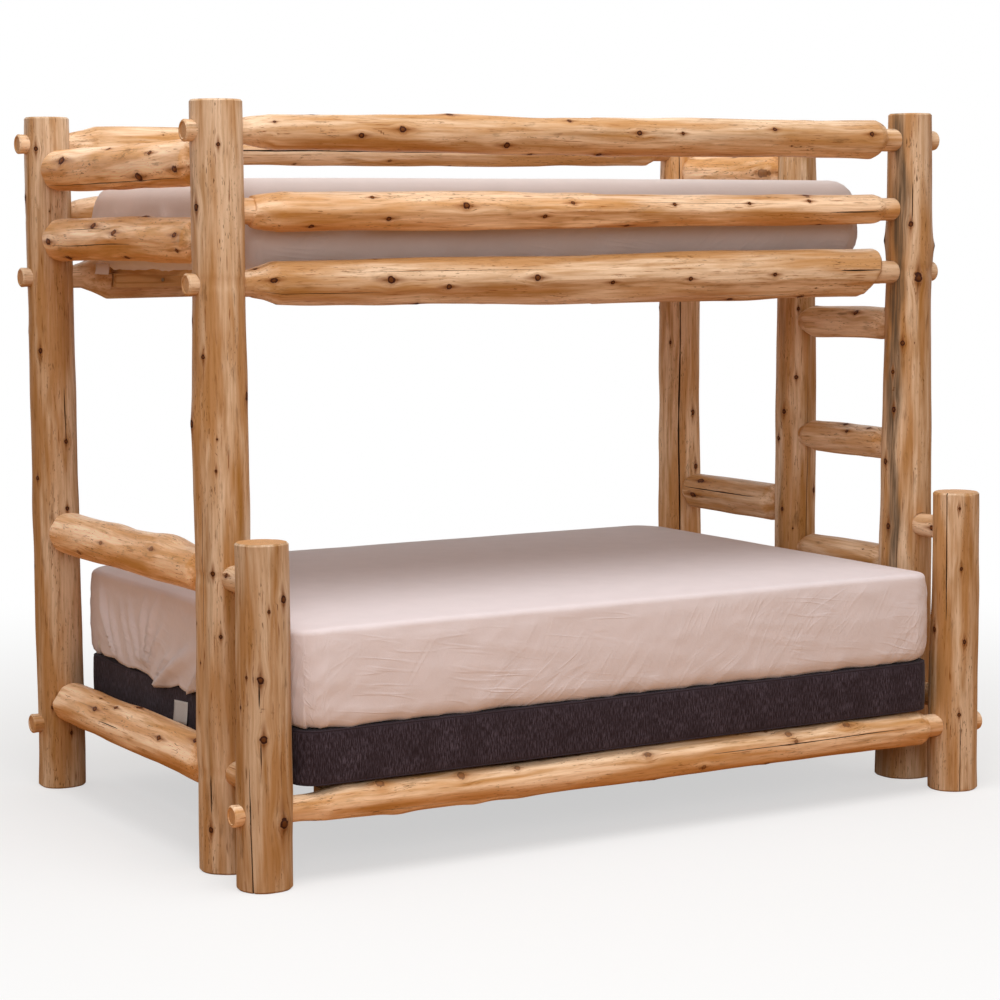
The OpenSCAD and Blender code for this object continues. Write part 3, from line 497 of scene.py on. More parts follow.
# A neck's radius over its tenon's, and how far over the neck a rail has its full skin
NECK_WALL = 5.5 * MM
SKIN_FADE = 14 * MM
# The slight flare at a tenon's tip, and its reach
FLARE = 1.2 * MM
FLARE_REACH = 9 * MM
# A tenon's end: how far its edge is rounded, its rim round the dish, and the dish's sloping wall
TENON_ROUND = 2 * MM
TENON_RIM = 5 * MM
DISH_WALL = 1.5 * MM
# A shoulder is where the radius changes this fast, and it has close rings this far to each side
STEEP = 0.12
SHOULDER_REACH = 25 * MM
# A knot's dark core against its listed radius
CORE_SHARE = 0.9
# A post's radius is read no nearer its ends than this
POST_INSET = 16 * MM
# Columns of the mesh are left out this near a crack, and a crack narrower than this isn't cut
CRACK_CLEAR = 1.2 * MM
LEAST_CRACK = 0.2 * MM
# A rail is tenoned into a post whose axis is this near its tip, and its neck's seat is cut this long
NEAR_POST = 0.12
# A through tenon's hole runs on past its tip. A blind hole and a neck's seat leave a small gap
PAST_TIP = 40 * MM
SEAT_GAP = 0.4 * MM
# A neck begins where the radius passes the tenon's by this much, and is measured this far inwards
NECK_RISE = 2 * MM
NECK_INSET = 8 * MM
# A sawn face looks along the log at least this much, and lies this near its end
SAWN_SLOPE = 0.97
SAWN_REACH = 5 * MM
# A rail's sawn flat runs this far past its ledger's ends
LEDGER_CLEAR = 4 * MM


def turned(angle):
    """An angle brought between minus and plus half a turn."""
    return (angle + math.pi) % (2 * math.pi) - math.pi


class Log:
    """One log, read from its CAD node: where its axis runs and how thick it is along it."""

    known = {}

    def __init__(self, name):
        self.name = name
        self.seed = sum(ord(c) * (i + 3) for i, c in enumerate(name)) % 9973
        self.random = np.random.default_rng(self.seed)
        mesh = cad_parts[name].data
        points = vertex_array(mesh)
        low, high = points.min(0), points.max(0)
        axis = int(np.argmax(high - low))
        self.along, self.first, self.second = (np.array(d, float) for d in DIRECTIONS[axis])
        rims = [points[np.abs(points[:, axis] - at) < END_SLICE] for at in (low[axis], high[axis])]
        ends = [(rim.min(0) + rim.max(0)) / 2 for rim in rims]
        if self.along[axis] < 0:
            ends.reverse()
        self.is_post = name in POSTS
        self.start = 0.0
        if not self.is_post:
            posts = [Log.get(post) for post in POSTS]
            near = min(posts, key=lambda p: np.hypot(*(p.origin - ends[0])[:2]))
            self.start = float((ends[0] - near.origin) @ self.along)
        self.origin = ends[0] - self.along * self.start
        self.end = self.start + float((ends[1] - ends[0]) @ self.along)
        self.measure(points, [p.vertices[:] for p in mesh.polygons])
        self.marks()

    @classmethod
    def get(cls, name):
        if name not in cls.known:
            cls.known[name] = cls(name)
        return cls.known[name]

    def way(self, angle):
        """The direction out of the log at an angle round it."""
        return self.first * math.cos(angle) + self.second * math.sin(angle)

    def drift(self, s, length, seed, start=0.0):
        """Slow change along the log, from -1 to 1, over about this length."""
        return noise(stack(s / length, 0 * s + start), self.seed + seed)

    def measure(self, points, faces):
        """Radii along the log: the median of rays cast at the CAD node from all round."""
        tree = BVHTree.FromPolygons([Vector(p) for p in points], faces)
        places = np.linspace(self.start + END_SLICE, self.end - END_SLICE,
                             max(24, int((self.end - self.start) / (4 * MM))))
        radii = []
        for place in places:
            centre = self.origin + self.along * place
            hits = []
            for angle in np.arange(16) * (2 * math.pi / 16):
                way = self.way(angle)
                hit = tree.ray_cast(Vector(centre + way * RAY_START), Vector(-way), RAY_START)
                if hit[0] is not None:
                    hits.append(RAY_START - hit[3])
            radii.append(np.median(hits) if hits else radii[-1])
        self.places, self.radii = places, np.array(radii)
        self.typical_r = float(np.median(self.radii))
        self.tenon_r = 0 if self.is_post else float(np.interp(self.start + 10 * MM, places, radii))
        inside = 0.2 * (self.end - self.start)
        self.full_r = [float(np.interp(at, places, self.radii))
                       for at in (self.start + inside, self.end - inside)]
        cuts = END_SHOULDERS if self.name in END_RAILS else OTHER_SHOULDERS
        self.shoulders = SHOULDERS.get(self.name, cuts)

    def marks(self):
        """Knots and cracks: the listed ones, and small ones drawn at random, mostly out of sight."""
        sizes = settings("logs")
        rule = self.random
        listed = KNOTS.get(self.name, [])
        self.knots = [(z * MM, math.radians(a), r * CORE_SHARE * MM, rise * MM) for z, a, r, rise in listed]
        length = self.end - self.start
        for _ in range(int(length * sizes.small_knots)):
            place = self.start + length * rule.uniform(0.06, 0.94)
            angle = math.radians(rule.uniform(-40, 200) if listed else rule.uniform(-180, 180))
            radius = rule.uniform(2.5, 8) * MM
            clear = [abs(place - k[0]) > 0.06 or abs(turned(angle - k[1])) > 0.6 for k in self.knots]
            if all(clear):
                self.knots.append((place, angle, radius, radius * rule.uniform(0.1, 0.4)))
        for _ in range(int(length * sizes.small_knots * 0.6)):
            place = self.start + length * rule.uniform(0.05, 0.95)
            self.knots.append((place, rule.uniform(-math.pi, math.pi), rule.uniform(1.2, 2.4) * MM, 0.0))
        self.cracks = [(math.radians(a), low * MM, high * MM, w * MM)
                       for a, low, high, w in CRACKS.get(self.name, [])]
        for _ in range(sizes.hairlines):
            low = self.start + length * rule.uniform(0.02, 0.7)
            high = low + length * rule.uniform(0.1, 0.28)
            angle = rule.uniform(-math.pi, math.pi)
            if all(abs(turned(angle - crack[0])) > 0.2 for crack in self.cracks):
                self.cracks.append((angle, low, high, rule.uniform(0.5, 0.9) * MM))

    def bow(self, s):
        """How far the log's axis leaves the straight line, in its two cross directions."""
        bend = settings("logs").bend
        share = np.clip((s - self.start) / (self.end - self.start), 0, 1)
        hold = np.sin(np.pi * share) ** 0.6
        return [bend * hold * self.drift(s, 0.55, 11, start) for start in (0.5, 7.5)]

    def twist(self, s):
        """How far the grain has turned round the log: cracks and streaks follow it."""
        spiral = 0.10 * math.sin(self.seed)
        return spiral * (s - self.start) + 0.05 * self.drift(s, 0.30, 5)

    def radius(self, s, angle):
        """The log's skin: its CAD taper with shoulders, lumps, facets, swellings and knots."""
        sizes = settings("logs")
        east, north = np.cos(angle), np.sin(angle)
        plain = np.interp(s, self.places, self.radii)
        tip = np.minimum(s - self.start, self.end - s)
        if self.is_post:
            body = np.ones_like(plain)
            inner = np.clip(s, self.start + POST_INSET, self.end - POST_INSET)
            r = np.interp(inner, self.places, self.radii) - np.clip(sizes.bevel - tip, 0, None)
        else:
            first = s < (self.start + self.end) / 2
            power, early, longer = (np.where(first, *pair) for pair in zip(*self.shoulders))
            inward = np.where(first, 1, -1)
            neck_r = self.tenon_r + NECK_WALL
            ragged = sizes.ragged * noise(stack(east * 1.6, north * 1.6, s / 0.05), self.seed + 1)
            necked = smooth_step((plain - neck_r) / (3 * MM))
            cut = ragged - (0.5 * early * (1 + east) + longer) * MM
            r = np.interp(s + cut * inward * np.where(cut < 0, 1, necked), self.places, self.radii)
            r = np.maximum(r, np.minimum(plain, neck_r))
            full = np.where(first, self.full_r[0], self.full_r[1])
            share = np.clip((r - neck_r) / (full - neck_r), 0, 1)
            r = np.where((r > neck_r) & (share < 1), neck_r + (full - neck_r) * share ** power, r)
            body = smooth_step((r - neck_r - 1 * MM) / SKIN_FADE)
            r = r + FLARE * np.exp(-(tip / FLARE_REACH) ** 2)
        # Relief: its height, how many times it changes round the log, its length and seed
        skin = 0
        for height, around, length, seed in (
                (sizes.wobble, 1.1, 0.34, 2), (sizes.lumps, 2.2, 0.11, 3), (sizes.facets, 5.5, 0.16, 4)):
            places = stack(east * around, north * around, s / length)
            skin = skin + height * noise(places, self.seed + seed)
        r = r + body * (skin - 0.6 * sizes.wobble)
        for degrees, depth in FLATS.get(self.name, []):
            turn = turned(angle - math.radians(degrees) - 0.12 * self.drift(s, 0.25, 31))
            level = plain - depth * MM * (1 + 0.5 * self.drift(s, 0.2, 32))
            # A flat reaches no further than 60 degrees to each side
            way = np.maximum(np.cos(turn), 0.5)
            r = np.where(way > 0.5, r + body * (np.minimum(r, level / way) - r), r)
        for place, degrees, half, height in SWELLINGS.get(self.name, []):
            away = ((s - place * MM) / (half * MM)) ** 2 + (turned(angle - math.radians(degrees)) / 0.8) ** 2
            r = r + body * height * MM * np.exp(-away)
        for place, way, core, rise in self.knots:
            if rise > 0:
                # The wood swells round the knot, and a groove runs round its core
                away = np.hypot(s - place, r * turned(angle - way)) / core
                swell = 0.72 * np.exp(-(away / 1.5) ** 2) + 0.28 * np.exp(-(away / 3.4) ** 2)
                groove = 0.45 * MM * np.exp(-((away - 0.95) / 0.3) ** 2)
                r = r + np.where(away < 6, body * (rise * swell - groove), 0)
        return r

    def crack_width(self, crack, s):
        """A crack's width along the log: it fades towards its ends, but not at a post's end."""
        _, low, high, width = crack
        share = np.clip((s - low) / (high - low), 0, 1)
        fade = np.sin(np.pi * share) ** 0.5
        if self.is_post and (low <= self.start or high >= self.end):
            fade = np.maximum(fade, share if high >= self.end else 1 - share)
            fade = np.where((s < low) | (s > high), 0, fade)
            if low <= self.start and high >= self.end:
                fade = np.ones_like(s)
        return width * fade * (0.85 + 0.3 * self.drift(s, 0.05, 8, 3.3))

    def column_angles(self, s):
        """Angles of the mesh's columns at each ring. Five columns follow each crack."""
        base = np.linspace(-math.pi, math.pi, settings("logs").columns, endpoint=False)
        for crack in self.cracks:
            base = base[np.abs(turned(base - crack[0])) > (crack[3] + CRACK_CLEAR) / self.typical_r]
        columns = [np.broadcast_to(a, s.shape) for a in base]
        for crack in self.cracks:
            half = np.maximum(self.crack_width(crack, s), 0.15 * MM) / self.typical_r
            for share in (-1, -0.35, 0, 0.35, 1):
                columns.append(crack[0] + half * share)
        columns = np.stack(columns, -1)
        order = np.argsort(columns[len(s) // 2])
        return columns[:, order] + self.twist(s)[:, None]

    def crack_share(self, s, angle):
        """0 on the skin, 1 in the middle of a crack, and the crack's depth there."""
        grain = angle - self.twist(s)
        share, depth = np.zeros_like(s), np.zeros_like(s)
        for crack in self.cracks:
            width = self.crack_width(crack, s)
            away = np.abs(turned(grain - crack[0])) * self.typical_r
            here = np.where(width > LEAST_CRACK, np.clip(1 - away / np.maximum(width, 0.1 * MM), 0, 1), 0)
            share = np.maximum(share, here)
            depth = np.maximum(depth, here ** 0.6 * width)
        return share, depth * settings("logs").crack_depth

    def ring_places(self):
        """Where the mesh has its rings: evenly, and close together over a rail's shoulders."""
        sizes = settings("logs")
        edge = sizes.bevel if self.is_post else 2.5 * MM
        places = [self.start, self.start + edge, self.end - edge, self.end]
        steep = self.places[np.abs(np.gradient(self.radii, self.places)) > STEEP]
        s = self.start + 1.6 * edge
        while s < self.end - 1.6 * edge:
            places.append(s)
            near = not self.is_post and np.min(np.abs(steep - s)) < SHOULDER_REACH
            s += sizes.shoulder_step if near else sizes.ring_step
        return np.sort(places)

    def loft(self):
        """The log as a closed mesh: rings of points, with a flat or a dished disc at each end."""
        sizes = settings("logs")
        s = self.ring_places()
        angle = self.column_angles(s)
        rows = np.broadcast_to(s[:, None], angle.shape)
        r = self.radius(rows, angle) - self.crack_share(rows, angle)[1]
        rings = [self.place(rows, angle, r)]
        if not self.is_post:
            tips = [0, -1]
            rings[0][tips] = self.place(rows[tips], angle[tips], r[tips] - TENON_ROUND)
            discs = []
            for at, inward in ((0, 1), (-1, -1)):
                rim = r[at] - TENON_RIM
                dish = self.place(rows[at] + inward * sizes.dish, angle[at], rim - DISH_WALL)
                discs.append([dish[None], self.place(rows[at], angle[at], rim)[None]])
            rings = discs[0] + rings + discs[1][::-1]
        points = np.concatenate(rings)
        rows, columns = points.shape[:2]
        faces = [f[::-1] for f in grid_faces(rows, columns, closed=True)]
        faces.append(list(range(columns)))
        faces.append([(rows - 1) * columns + j for j in range(columns)][::-1])
        points = points.reshape(-1, 3)
        self.flatten(points)
        return points, faces

    def place(self, s, angle, r):
        """Points at these places along the log, angles round it and radii."""
        bow = self.bow(s)
        return (self.origin + s[..., None] * self.along
                + (r * np.cos(angle) + bow[0])[..., None] * self.first
                + (r * np.sin(angle) + bow[1])[..., None] * self.second)

    def flatten(self, points):
        """The sawn flat that a ledger lies against."""
        ledger = LEDGERS.get(self.name)
        if ledger:
            low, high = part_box(ledger)
            inside = (points[:, 0] > low.x - LEDGER_CLEAR) & (points[:, 0] < high.x + LEDGER_CLEAR)
            limit, face = (np.minimum, low.y) if self.name.startswith("front") else (np.maximum, high.y)
            points[inside, 1] = limit(points[inside, 1], face)

    def paint(self, mesh):
        """Puts what the cedar material reads on the finished mesh."""
        points = vertex_array(mesh) - self.origin
        s = points @ self.along
        bow = self.bow(s)
        x, y = points @ self.first - bow[0], points @ self.second - bow[1]
        r, angle = np.maximum(np.hypot(x, y), 1 * MM), np.arctan2(y, x)
        # The nearest knot: its distance, then how far along and across it and how strong it is
        nearest = np.full(len(s), 20 * MM)
        knot = stack(np.full(len(s), 4.0), 0, 0)
        push = np.zeros(len(s))
        # A knot on an end rail is cut at a slant, so it is long
        stretch = 1.9 if self.name in END_RAILS else 1.15
        shade = 0.6 if self.name in PALE_KNOTS else 1.0
        for place, way, core, _ in self.knots:
            du, dv = (s - place) / (core * stretch), r * turned(angle - way) / core
            push += core * dv * np.exp(-(du / 3.2) ** 2 - (dv / 2.2) ** 2)
            away = (np.hypot(du * 0.3, dv) - 1) * core
            closer = away < nearest
            nearest = np.where(closer, away, nearest)
            knot[closer] = stack(du, dv, shade * smooth_step((12 * MM - away) / (6 * MM)))[closer]
        grain = angle - self.twist(s) - push / r
        shift = self.seed % 97
        set_attribute(mesh, "grain", stack(r * np.cos(grain), r * np.sin(grain), s + shift))
        set_attribute(mesh, "knot", knot)
        set_attribute(mesh, "crack", self.crack_share(s, angle)[0])
        stain = np.zeros(len(s))
        for degrees, low, high, half, strong in STAINS.get(self.name, []):
            ends = smooth_step((s - low * MM) / 0.12) * smooth_step((high * MM - s) / 0.12 + 0.5)
            turn = turned(angle - math.radians(degrees) - 0.14 * self.drift(s, 0.12, 21))
            across = r * turn / (half * MM * (1 + 0.45 * self.drift(s, 0.09, 22, 5)))
            stain = stain + strong * ends * np.exp(-across ** 4)
        set_attribute(mesh, "stain", stain)
        # The tone is partly painted light: it lightens most rails and darkens most posts
        tone = LOG_TONES_AND_PAINTED_LIGHT.get(self.name, 0.5 * noise([[self.seed * 0.37, 0]], 3)[0])
        set_attribute(mesh, "tone", np.full(len(s), tone))


def socket_cutter(post):
    """A mesh of the sockets in a post: each tenon's hole, and the seat of its neck."""
    gap = settings("logs").socket_gap
    points, faces, steps = [], [], 48
    for name in RAILS:
        rail = Log.get(name)
        for at_start in (True, False):
            tip = rail.start if at_start else rail.end
            inward = 1 if at_start else -1
            spot = rail.origin + rail.along * tip
            if np.hypot(*(spot - post.origin)[:2]) > NEAR_POST or spot[2] > post.end:
                continue
            into = rail.places if at_start else rail.places[::-1]
            radii = rail.radii if at_start else rail.radii[::-1]
            seat = into[np.argmax(radii > rail.tenon_r + NECK_RISE)]
            neck_r = float(np.interp(seat + inward * NECK_INSET, rail.places, rail.radii))
            through = ((spot - post.origin) @ rail.along) * inward < 0
            hole, wide, floor = rail.tenon_r + gap, neck_r + gap, seat - inward * SEAT_GAP
            outline = [(tip - inward * (PAST_TIP if through else SEAT_GAP), hole), (floor, hole),
                       (floor, wide), (seat + inward * NEAR_POST, wide)]
            base = len(points)
            for s, r in outline:
                points += [rail.origin + rail.along * s + rail.way(2 * math.pi * k / steps) * r
                           for k in range(steps)]
            ring = grid_faces(len(outline), steps, closed=True, start=base)
            made = ring + [list(range(base, base + steps))[::-1],
                           list(range(base + 3 * steps, base + 4 * steps))]
            faces += made if at_start else [f[::-1] for f in made]
    cutter = mesh_object(post.name + "_sockets", points, faces, [], smooth=False)
    face_outwards(cutter.data)
    return cutter


def make_log(name, materials):
    """A log as a finished piece, with its sockets cut if it is a post."""
    log = Log.get(name)
    points, faces = log.loft()
    thing = mesh_object("cedar_" + name, points, faces, materials)
    face_outwards(thing.data)
    if log.is_post:
        cutter = socket_cutter(log)
        cut = thing.modifiers.new("sockets", "BOOLEAN")
        cut.operation, cut.solver, cut.object = "DIFFERENCE", "MANIFOLD", cutter
        baked(thing)
        bpy.data.objects.remove(cutter)
    mesh = thing.data
    log.paint(mesh)
    # End grain shows on the faces near an end that look along the log
    facing = np.array([p.normal for p in mesh.polygons]) @ log.along
    s = (np.array([p.center for p in mesh.polygons]) - log.origin) @ log.along
    near_end = (s < log.start + SAWN_REACH) | (s > log.end - SAWN_REACH)
    sawn = (np.abs(facing) > SAWN_SLOPE) & near_end
    mesh.polygons.foreach_set("material_index", sawn.astype(np.int32))
    mesh.shade_smooth()
    mesh.set_sharp_from_angle(angle=settings("logs").crease)
    return finish_piece(thing, "peeled_cedar", name)


# Materials


def cedar_material():
    """White cedar, peeled with a drawknife and varnished: honey sapwood in long soft streaks, amber
    inner bark left in the hollows, dark round knots that the grain flows round, a satin skin."""
    look = settings("finishes")
    material, node, shader = new_material("peeled_cedar", IOR=1.5, Specular_IOR_Level=0.18,
                                          Coat_Weight=0.03, Coat_Roughness=0.3)
    grain, knot = (node("Attribute", out="Vector", attribute_name=name) for name in ("grain", "knot"))
    crack, stain, tone = (node("Attribute", out="Fac", attribute_name=name)
                          for name in ("crack", "stain", "tone"))
    times, plus, less, soft = "Math MULTIPLY", "Math ADD", "Math SUBTRACT", "MapRange SMOOTHSTEP"

    def streaks(across, length, detail, roughness):
        """Noise in streaks of these real sizes."""
        scaled = node("VectorMath MULTIPLY", grain, (1 / across, 1 / across, 1 / length))
        return node("TexNoise", {"Vector": scaled, "Scale": 1.0, "Detail": detail, "Roughness": roughness})

    def distance(x, y):
        return node("Math SQRT", node(plus, node(times, x, x), node(times, y, y)))

    broad = streaks(0.045, 0.50, 3.0, 0.55)
    fine = streaks(0.0075, 0.16, 5.0, 0.6)
    thread = streaks(0.0022, 0.05, 3.0, 0.6)
    smudge = streaks(0.020, 0.09, 4.0, 0.62)
    smudged = node(times, node(soft, smudge, 0.57, 0.74), node(soft, fine, 0.35, 0.6, 0.2, 1.0))
    uneven = node(soft, fine, 0.25, 0.75, 0.35, 0.9)
    amber_stain = node("Math MAXIMUM", node(times, stain, -1.0), 0.0)
    # Flecks of bark, about 3 mm by 20, in patches
    fleck = node(times, node(soft, streaks(0.0030, 0.020, 2.0, 0.6), 0.60, 0.68),
                 node(soft, streaks(0.04, 0.14, 2.0, 0.5), 0.48, 0.62, 0.08, 0.85))

    # Round a knot: how far across and along the grain, and how strongly it is drawn
    du, dv, strength = node("SeparateXYZ", knot, out=None)
    wander = node(times, node(less, fine, 0.5), 0.9)
    lobes = node(times, node(less, streaks(0.0075, 0.010, 2.0, 0.6), 0.5), 1.1)
    away = node(plus, node(plus, distance(du, dv), node(times, wander, 0.3)), lobes)
    # A long brown tail and a thin dark one run out along the grain
    tails = [node(times, node(soft, node(plus, distance(x, y), wander), low, high), strength)
             for x, y, low, high in ((node(times, du, 0.21), dv, 1.25, 0.35),
                                     (node(times, du, 0.42), node(times, dv, 2.6), 1.15, 0.7))]
    halo, core, lip = (node(times, node(soft, away, low, high), strength)
                       for low, high in ((2.1, 1.0), (1.10, 0.95), (1.9, 1.1)))
    heart = node(soft, node(plus, away, node(times, wander, 0.5)), 0.72, 0.40)
    core_colour = node("Mix", {0: node(times, heart, 0.45), 6: rgba(look.knot_core), 7: rgba(look.knot_rim)},
                       **COLOURS)

    colour = rgba(look.cedar_pale)
    for factor, layer in (
            (node(soft, broad, 0.37, 0.62), look.cedar_honey),
            (node(soft, fine, 0.34, 0.76, 0.0, 0.50), look.cedar_amber),
            (node(times, node(soft, streaks(0.03, 0.22, 3.0, 0.5), 0.54, 0.72), 0.55), look.cedar_amber),
            (node(soft, thread, 0.54, 0.80, 0.0, 0.24), look.cedar_streak),
            (node(times, smudged, 0.62), look.cedar_streak),
            (node(times, node(soft, streaks(0.0038, 0.075, 2.0, 0.55), 0.62, 0.74), 0.8), look.knot_rim),
            (fleck, look.cedar_streak),
            (node(times, amber_stain, uneven), look.cedar_amber),
            (node(times, node("Math MAXIMUM", stain, 0.0), uneven), look.stain),
            (node(times, tails[0], 0.62), look.knot_rim),
            (node(times, tails[1], 0.6), look.cedar_streak),
            (node(times, halo, 0.42), look.knot_rim),
            (core, core_colour),
            (node(soft, crack, 0.12, 0.55), look.crack)):
        if layer is not core_colour:
            layer = rgba(layer)
        colour = node("Mix", {0: factor, 6: colour, 7: layer}, **COLOURS)

    height = node(times, fine, 0.55)
    for sign, part, share in ((plus, thread, 0.30), (plus, smudge, 0.5), (plus, lip, 0.8), (less, core, 1.3),
                              (plus, node(times, heart, core), 0.6), (less, crack, 1.5)):
        height = node(sign, height, node(times, part, share))
    rough = node(plus, node(soft, smudge, 0.3, 0.8, 0.36, 0.56), node(times, core, 0.25))
    material.node_tree.links.new(rough, shader.inputs["Roughness"])
    # Each log's colour is lightened or darkened by its tone, which is partly painted light
    level = node("Math MULTIPLY_ADD", tone, -0.2, 1.02)
    return coat(material, shader, colour, level, height, 0.7, 1.0 * MM)


def end_grain_material():
    """The same cedar sawn across: growth rings, with soft blotches."""
    look = settings("finishes")
    material, node, shader = new_material("cedar_end_grain", Roughness=0.58, IOR=1.5)
    grain = node("Attribute", out="Vector", attribute_name="grain")
    off = node("VectorMath ADD", node("VectorMath MULTIPLY", grain, (1, 1, 0)), (0.009, -0.006, 0))
    sway = node("TexNoise", {"Vector": off, "Scale": 28.0, "Detail": 2.0})
    # Growth rings of about 3 mm
    turns = node("Math MULTIPLY", node("VectorMath LENGTH", off, out="Value"), 2 * math.pi / (3.0 * MM))
    wave = node("Math SINE", node("Math MULTIPLY_ADD", sway, 9.0, turns))
    late = node("MapRange", wave, 0.1, 1.0)
    base = node("Mix", {0: late, 6: rgba(look.end_pale), 7: rgba(look.end_ring)}, **COLOURS)
    blotch = node("TexNoise", {"Vector": off, "Scale": 60.0, "Detail": 4.0})
    level = node("MapRange", blotch, 0.35, 0.75, 1.05, 0.80)
    return coat(material, shader, base, level, blotch, 0.4, 0.8 * MM)


def pine_material(name, along):
    """Pine planed and left bare: cathedral late wood drawn as rings of a trunk cut along, matt."""
    look = settings("finishes")
    material, node, shader = new_material(name, Roughness=0.62, IOR=1.5)
    # Rings of about 5 mm, stretched ten times along the board
    stretch = tuple(0.1 if axis == along else 1.0 for axis in range(3))
    scaled = node("VectorMath MULTIPLY", node("TexCoord", out="Object"), stretch)
    sway, fibre = (node("TexNoise", {"Vector": scaled, "Scale": scale, "Detail": 3.0})
                   for scale in (9.0, 420.0))
    wave = node("Math SINE", node("Math MULTIPLY", sway, 60.0))
    late = node("MapRange", wave, 0.2, 1.0, 0.0, 0.8)
    base = node("Mix", {0: late, 6: rgba(look.pine), 7: rgba(look.pine_ring)}, **COLOURS)
    level = node("MapRange", fibre, 0.3, 0.7, 0.90, 1.05)
    return coat(material, shader, base, level, fibre, 0.3, 0.4 * MM)


def zinc_material():
    """Zinc-plated steel: a dull bright metal with faint spangle."""
    material, node, shader = new_material("zinc_plate", Metallic=1.0)
    place = node("TexCoord", out="Object")
    spangle = node("TexVoronoi", {"Vector": place, "Scale": 700.0}, out="Color")
    level = node("MapRange", {"Value": spangle, "To Min": 0.85, "To Max": 1.08})
    toned = node("HueSaturation", {"Color": rgba(settings("finishes").zinc), "Value": level})
    rough = node("MapRange", {"Value": spangle, "To Min": 0.28, "To Max": 0.5})
    for value, socket in ((toned, "Base Color"), (rough, "Roughness")):
        material.node_tree.links.new(value, shader.inputs[socket])
    return material


def cotton_material(name, colour, thread):
    """Plain-woven cotton: matt, with a soft sheen at a glancing angle, and sharp small creases where
    it is pulled. Its weave is drawn at the given spacing, coarser than the real quarter of a
    millimetre, so that it shows."""
    material, node, shader = new_material(name, Roughness=0.88, IOR=1.45, Sheen_Weight=0.15,
                                          Sheen_Roughness=0.5)
    cloth = node("Attribute", out="Vector", attribute_name="cloth")
    pulled = node("Attribute", out="Fac", attribute_name="pulled")
    times = "Math MULTIPLY"
    creases = []
    # Thin creases, from the crests of stretched noise: their slant, width, length and seed
    for degrees, width, length, seed in (
            (-38, 0.036, 0.20, 1.0), (8, 0.032, 0.24, 5.0), (-60, 0.040, 0.20, 9.0)):
        slanted = node("VectorRotate", {"Vector": cloth, "Angle": math.radians(degrees)},
                       rotation_type="Z_AXIS")
        scaled = node("VectorMath MULTIPLY_ADD", slanted, (1 / length, 1 / width, 1.0), (seed, 0, seed))
        wave = node("TexNoise", {"Vector": scaled, "Scale": 1.0, "Detail": 1.0, "Distortion": 0.5})
        crest = node("MapRange", node("Math ABSOLUTE", node("Math SUBTRACT", wave, 0.5)), 0.075, 0.0)
        patch = node("TexNoise", {"Vector": cloth, "Scale": 4.5, "Detail": 1.0, "W": seed},
                     noise_dimensions="4D")
        creases.append(node(times, crest, node("MapRange", patch, 0.48, 0.62)))
    creased = node("Math ADD", node("Math ADD", *creases[:2]), node(times, creases[2], 0.8))
    creased = node(times, creased, pulled)
    across, down = node("SeparateXYZ", cloth, out=None)[:2]
    yarns = [node("Math SINE", node(times, way, 2 * math.pi / thread)) for way in (across, down)]
    weave = node(times, *yarns)
    slub = node("TexNoise", {"Vector": cloth, "Scale": 420.0, "Detail": 2.0})
    soft = node("TexNoise", {"Vector": cloth, "Scale": 14.0, "Detail": 5.0, "Roughness": 0.6})
    height = node("Math MULTIPLY_ADD", weave, 0.04, node(times, slub, 0.08))
    for part, share in ((creased, 1.0), (soft, 0.8)):
        height = node("Math MULTIPLY_ADD", part, share, height)
    level = node("MapRange", soft, 0.3, 0.7, 0.965, 1.015)
    return coat(material, shader, rgba(colour), level, height, 0.9, 1.0 * MM)


def charcoal_material():
    """Box spring cloth: a charcoal weave of dark and pale yarns that runs up and down the sides."""
    look = settings("finishes")
    material, node, shader = new_material("charcoal_upholstery", Roughness=0.9, IOR=1.45,
                                          Specular_IOR_Level=0.2, Sheen_Weight=0.08, Sheen_Roughness=0.4)
    cloth = node("Attribute", out="Vector", attribute_name="cloth")
    # Yarns about 2.5 mm apart that change every 20 mm of their length
    place = node("VectorMath MULTIPLY", cloth, (1 / 0.0026, 1 / 0.020, 1.0))
    yarn = node("TexNoise", {"Vector": place, "Scale": 1.0, "Detail": 3.0, "Roughness": 0.7})
    patch = node("TexNoise", {"Vector": cloth, "Scale": 15.0, "Detail": 3.0})
    pale = node("MapRange", yarn, 0.44, 0.70)
    fleck = node("Math MULTIPLY", pale, node("MapRange", patch, 0.3, 0.7, 0.3, 1.0))
    base = node("Mix", {0: fleck, 6: rgba(look.charcoal), 7: rgba(look.charcoal_fleck)}, **COLOURS)
    return coat(material, shader, base, None, yarn, 0.5, 0.6 * MM)


def plain_cloth_material(name, colour, grain, roughness=0.9):
    """Tape or ribbon: matt, with a fine uneven surface of the given grain."""
    material, node, shader = new_material(name, Roughness=roughness, IOR=1.45)
    fuzz = node("TexNoise", {"Vector": node("TexCoord", out="Object"), "Scale": 1 / grain, "Detail": 3.0})
    level = node("MapRange", fuzz, 0.3, 0.7, 0.88, 1.06)
    return coat(material, shader, rgba(colour), level, fuzz, 0.4, 0.4 * MM)


# Bedding

# Spacing of a sheet's points down its side, and in its tuck; how far it lies off its mattress
SIDE_STEP = 8.5 * MM
TUCK_STEP = 12 * MM
SHEET_LIFT = 1 * MM
# The length at each end of a mattress over which it thins
THINNING = 0.10


def arc(centre, radius, start, end, steps):
    """Points of an arc in (out, height), in degrees from straight up, towards the outside."""
    angles = np.radians(np.linspace(start, end, steps + 1))
    return [(centre[0] + radius * math.sin(a), centre[1] + radius * math.cos(a)) for a in angles]


def straight(first, last, step):
    """Points from first to last, without first."""
    count = max(1, int(round(math.dist(first, last) / step)))
    return [tuple(np.array(first) + (np.array(last) - np.array(first)) * k / count)
            for k in range(1, count + 1)]


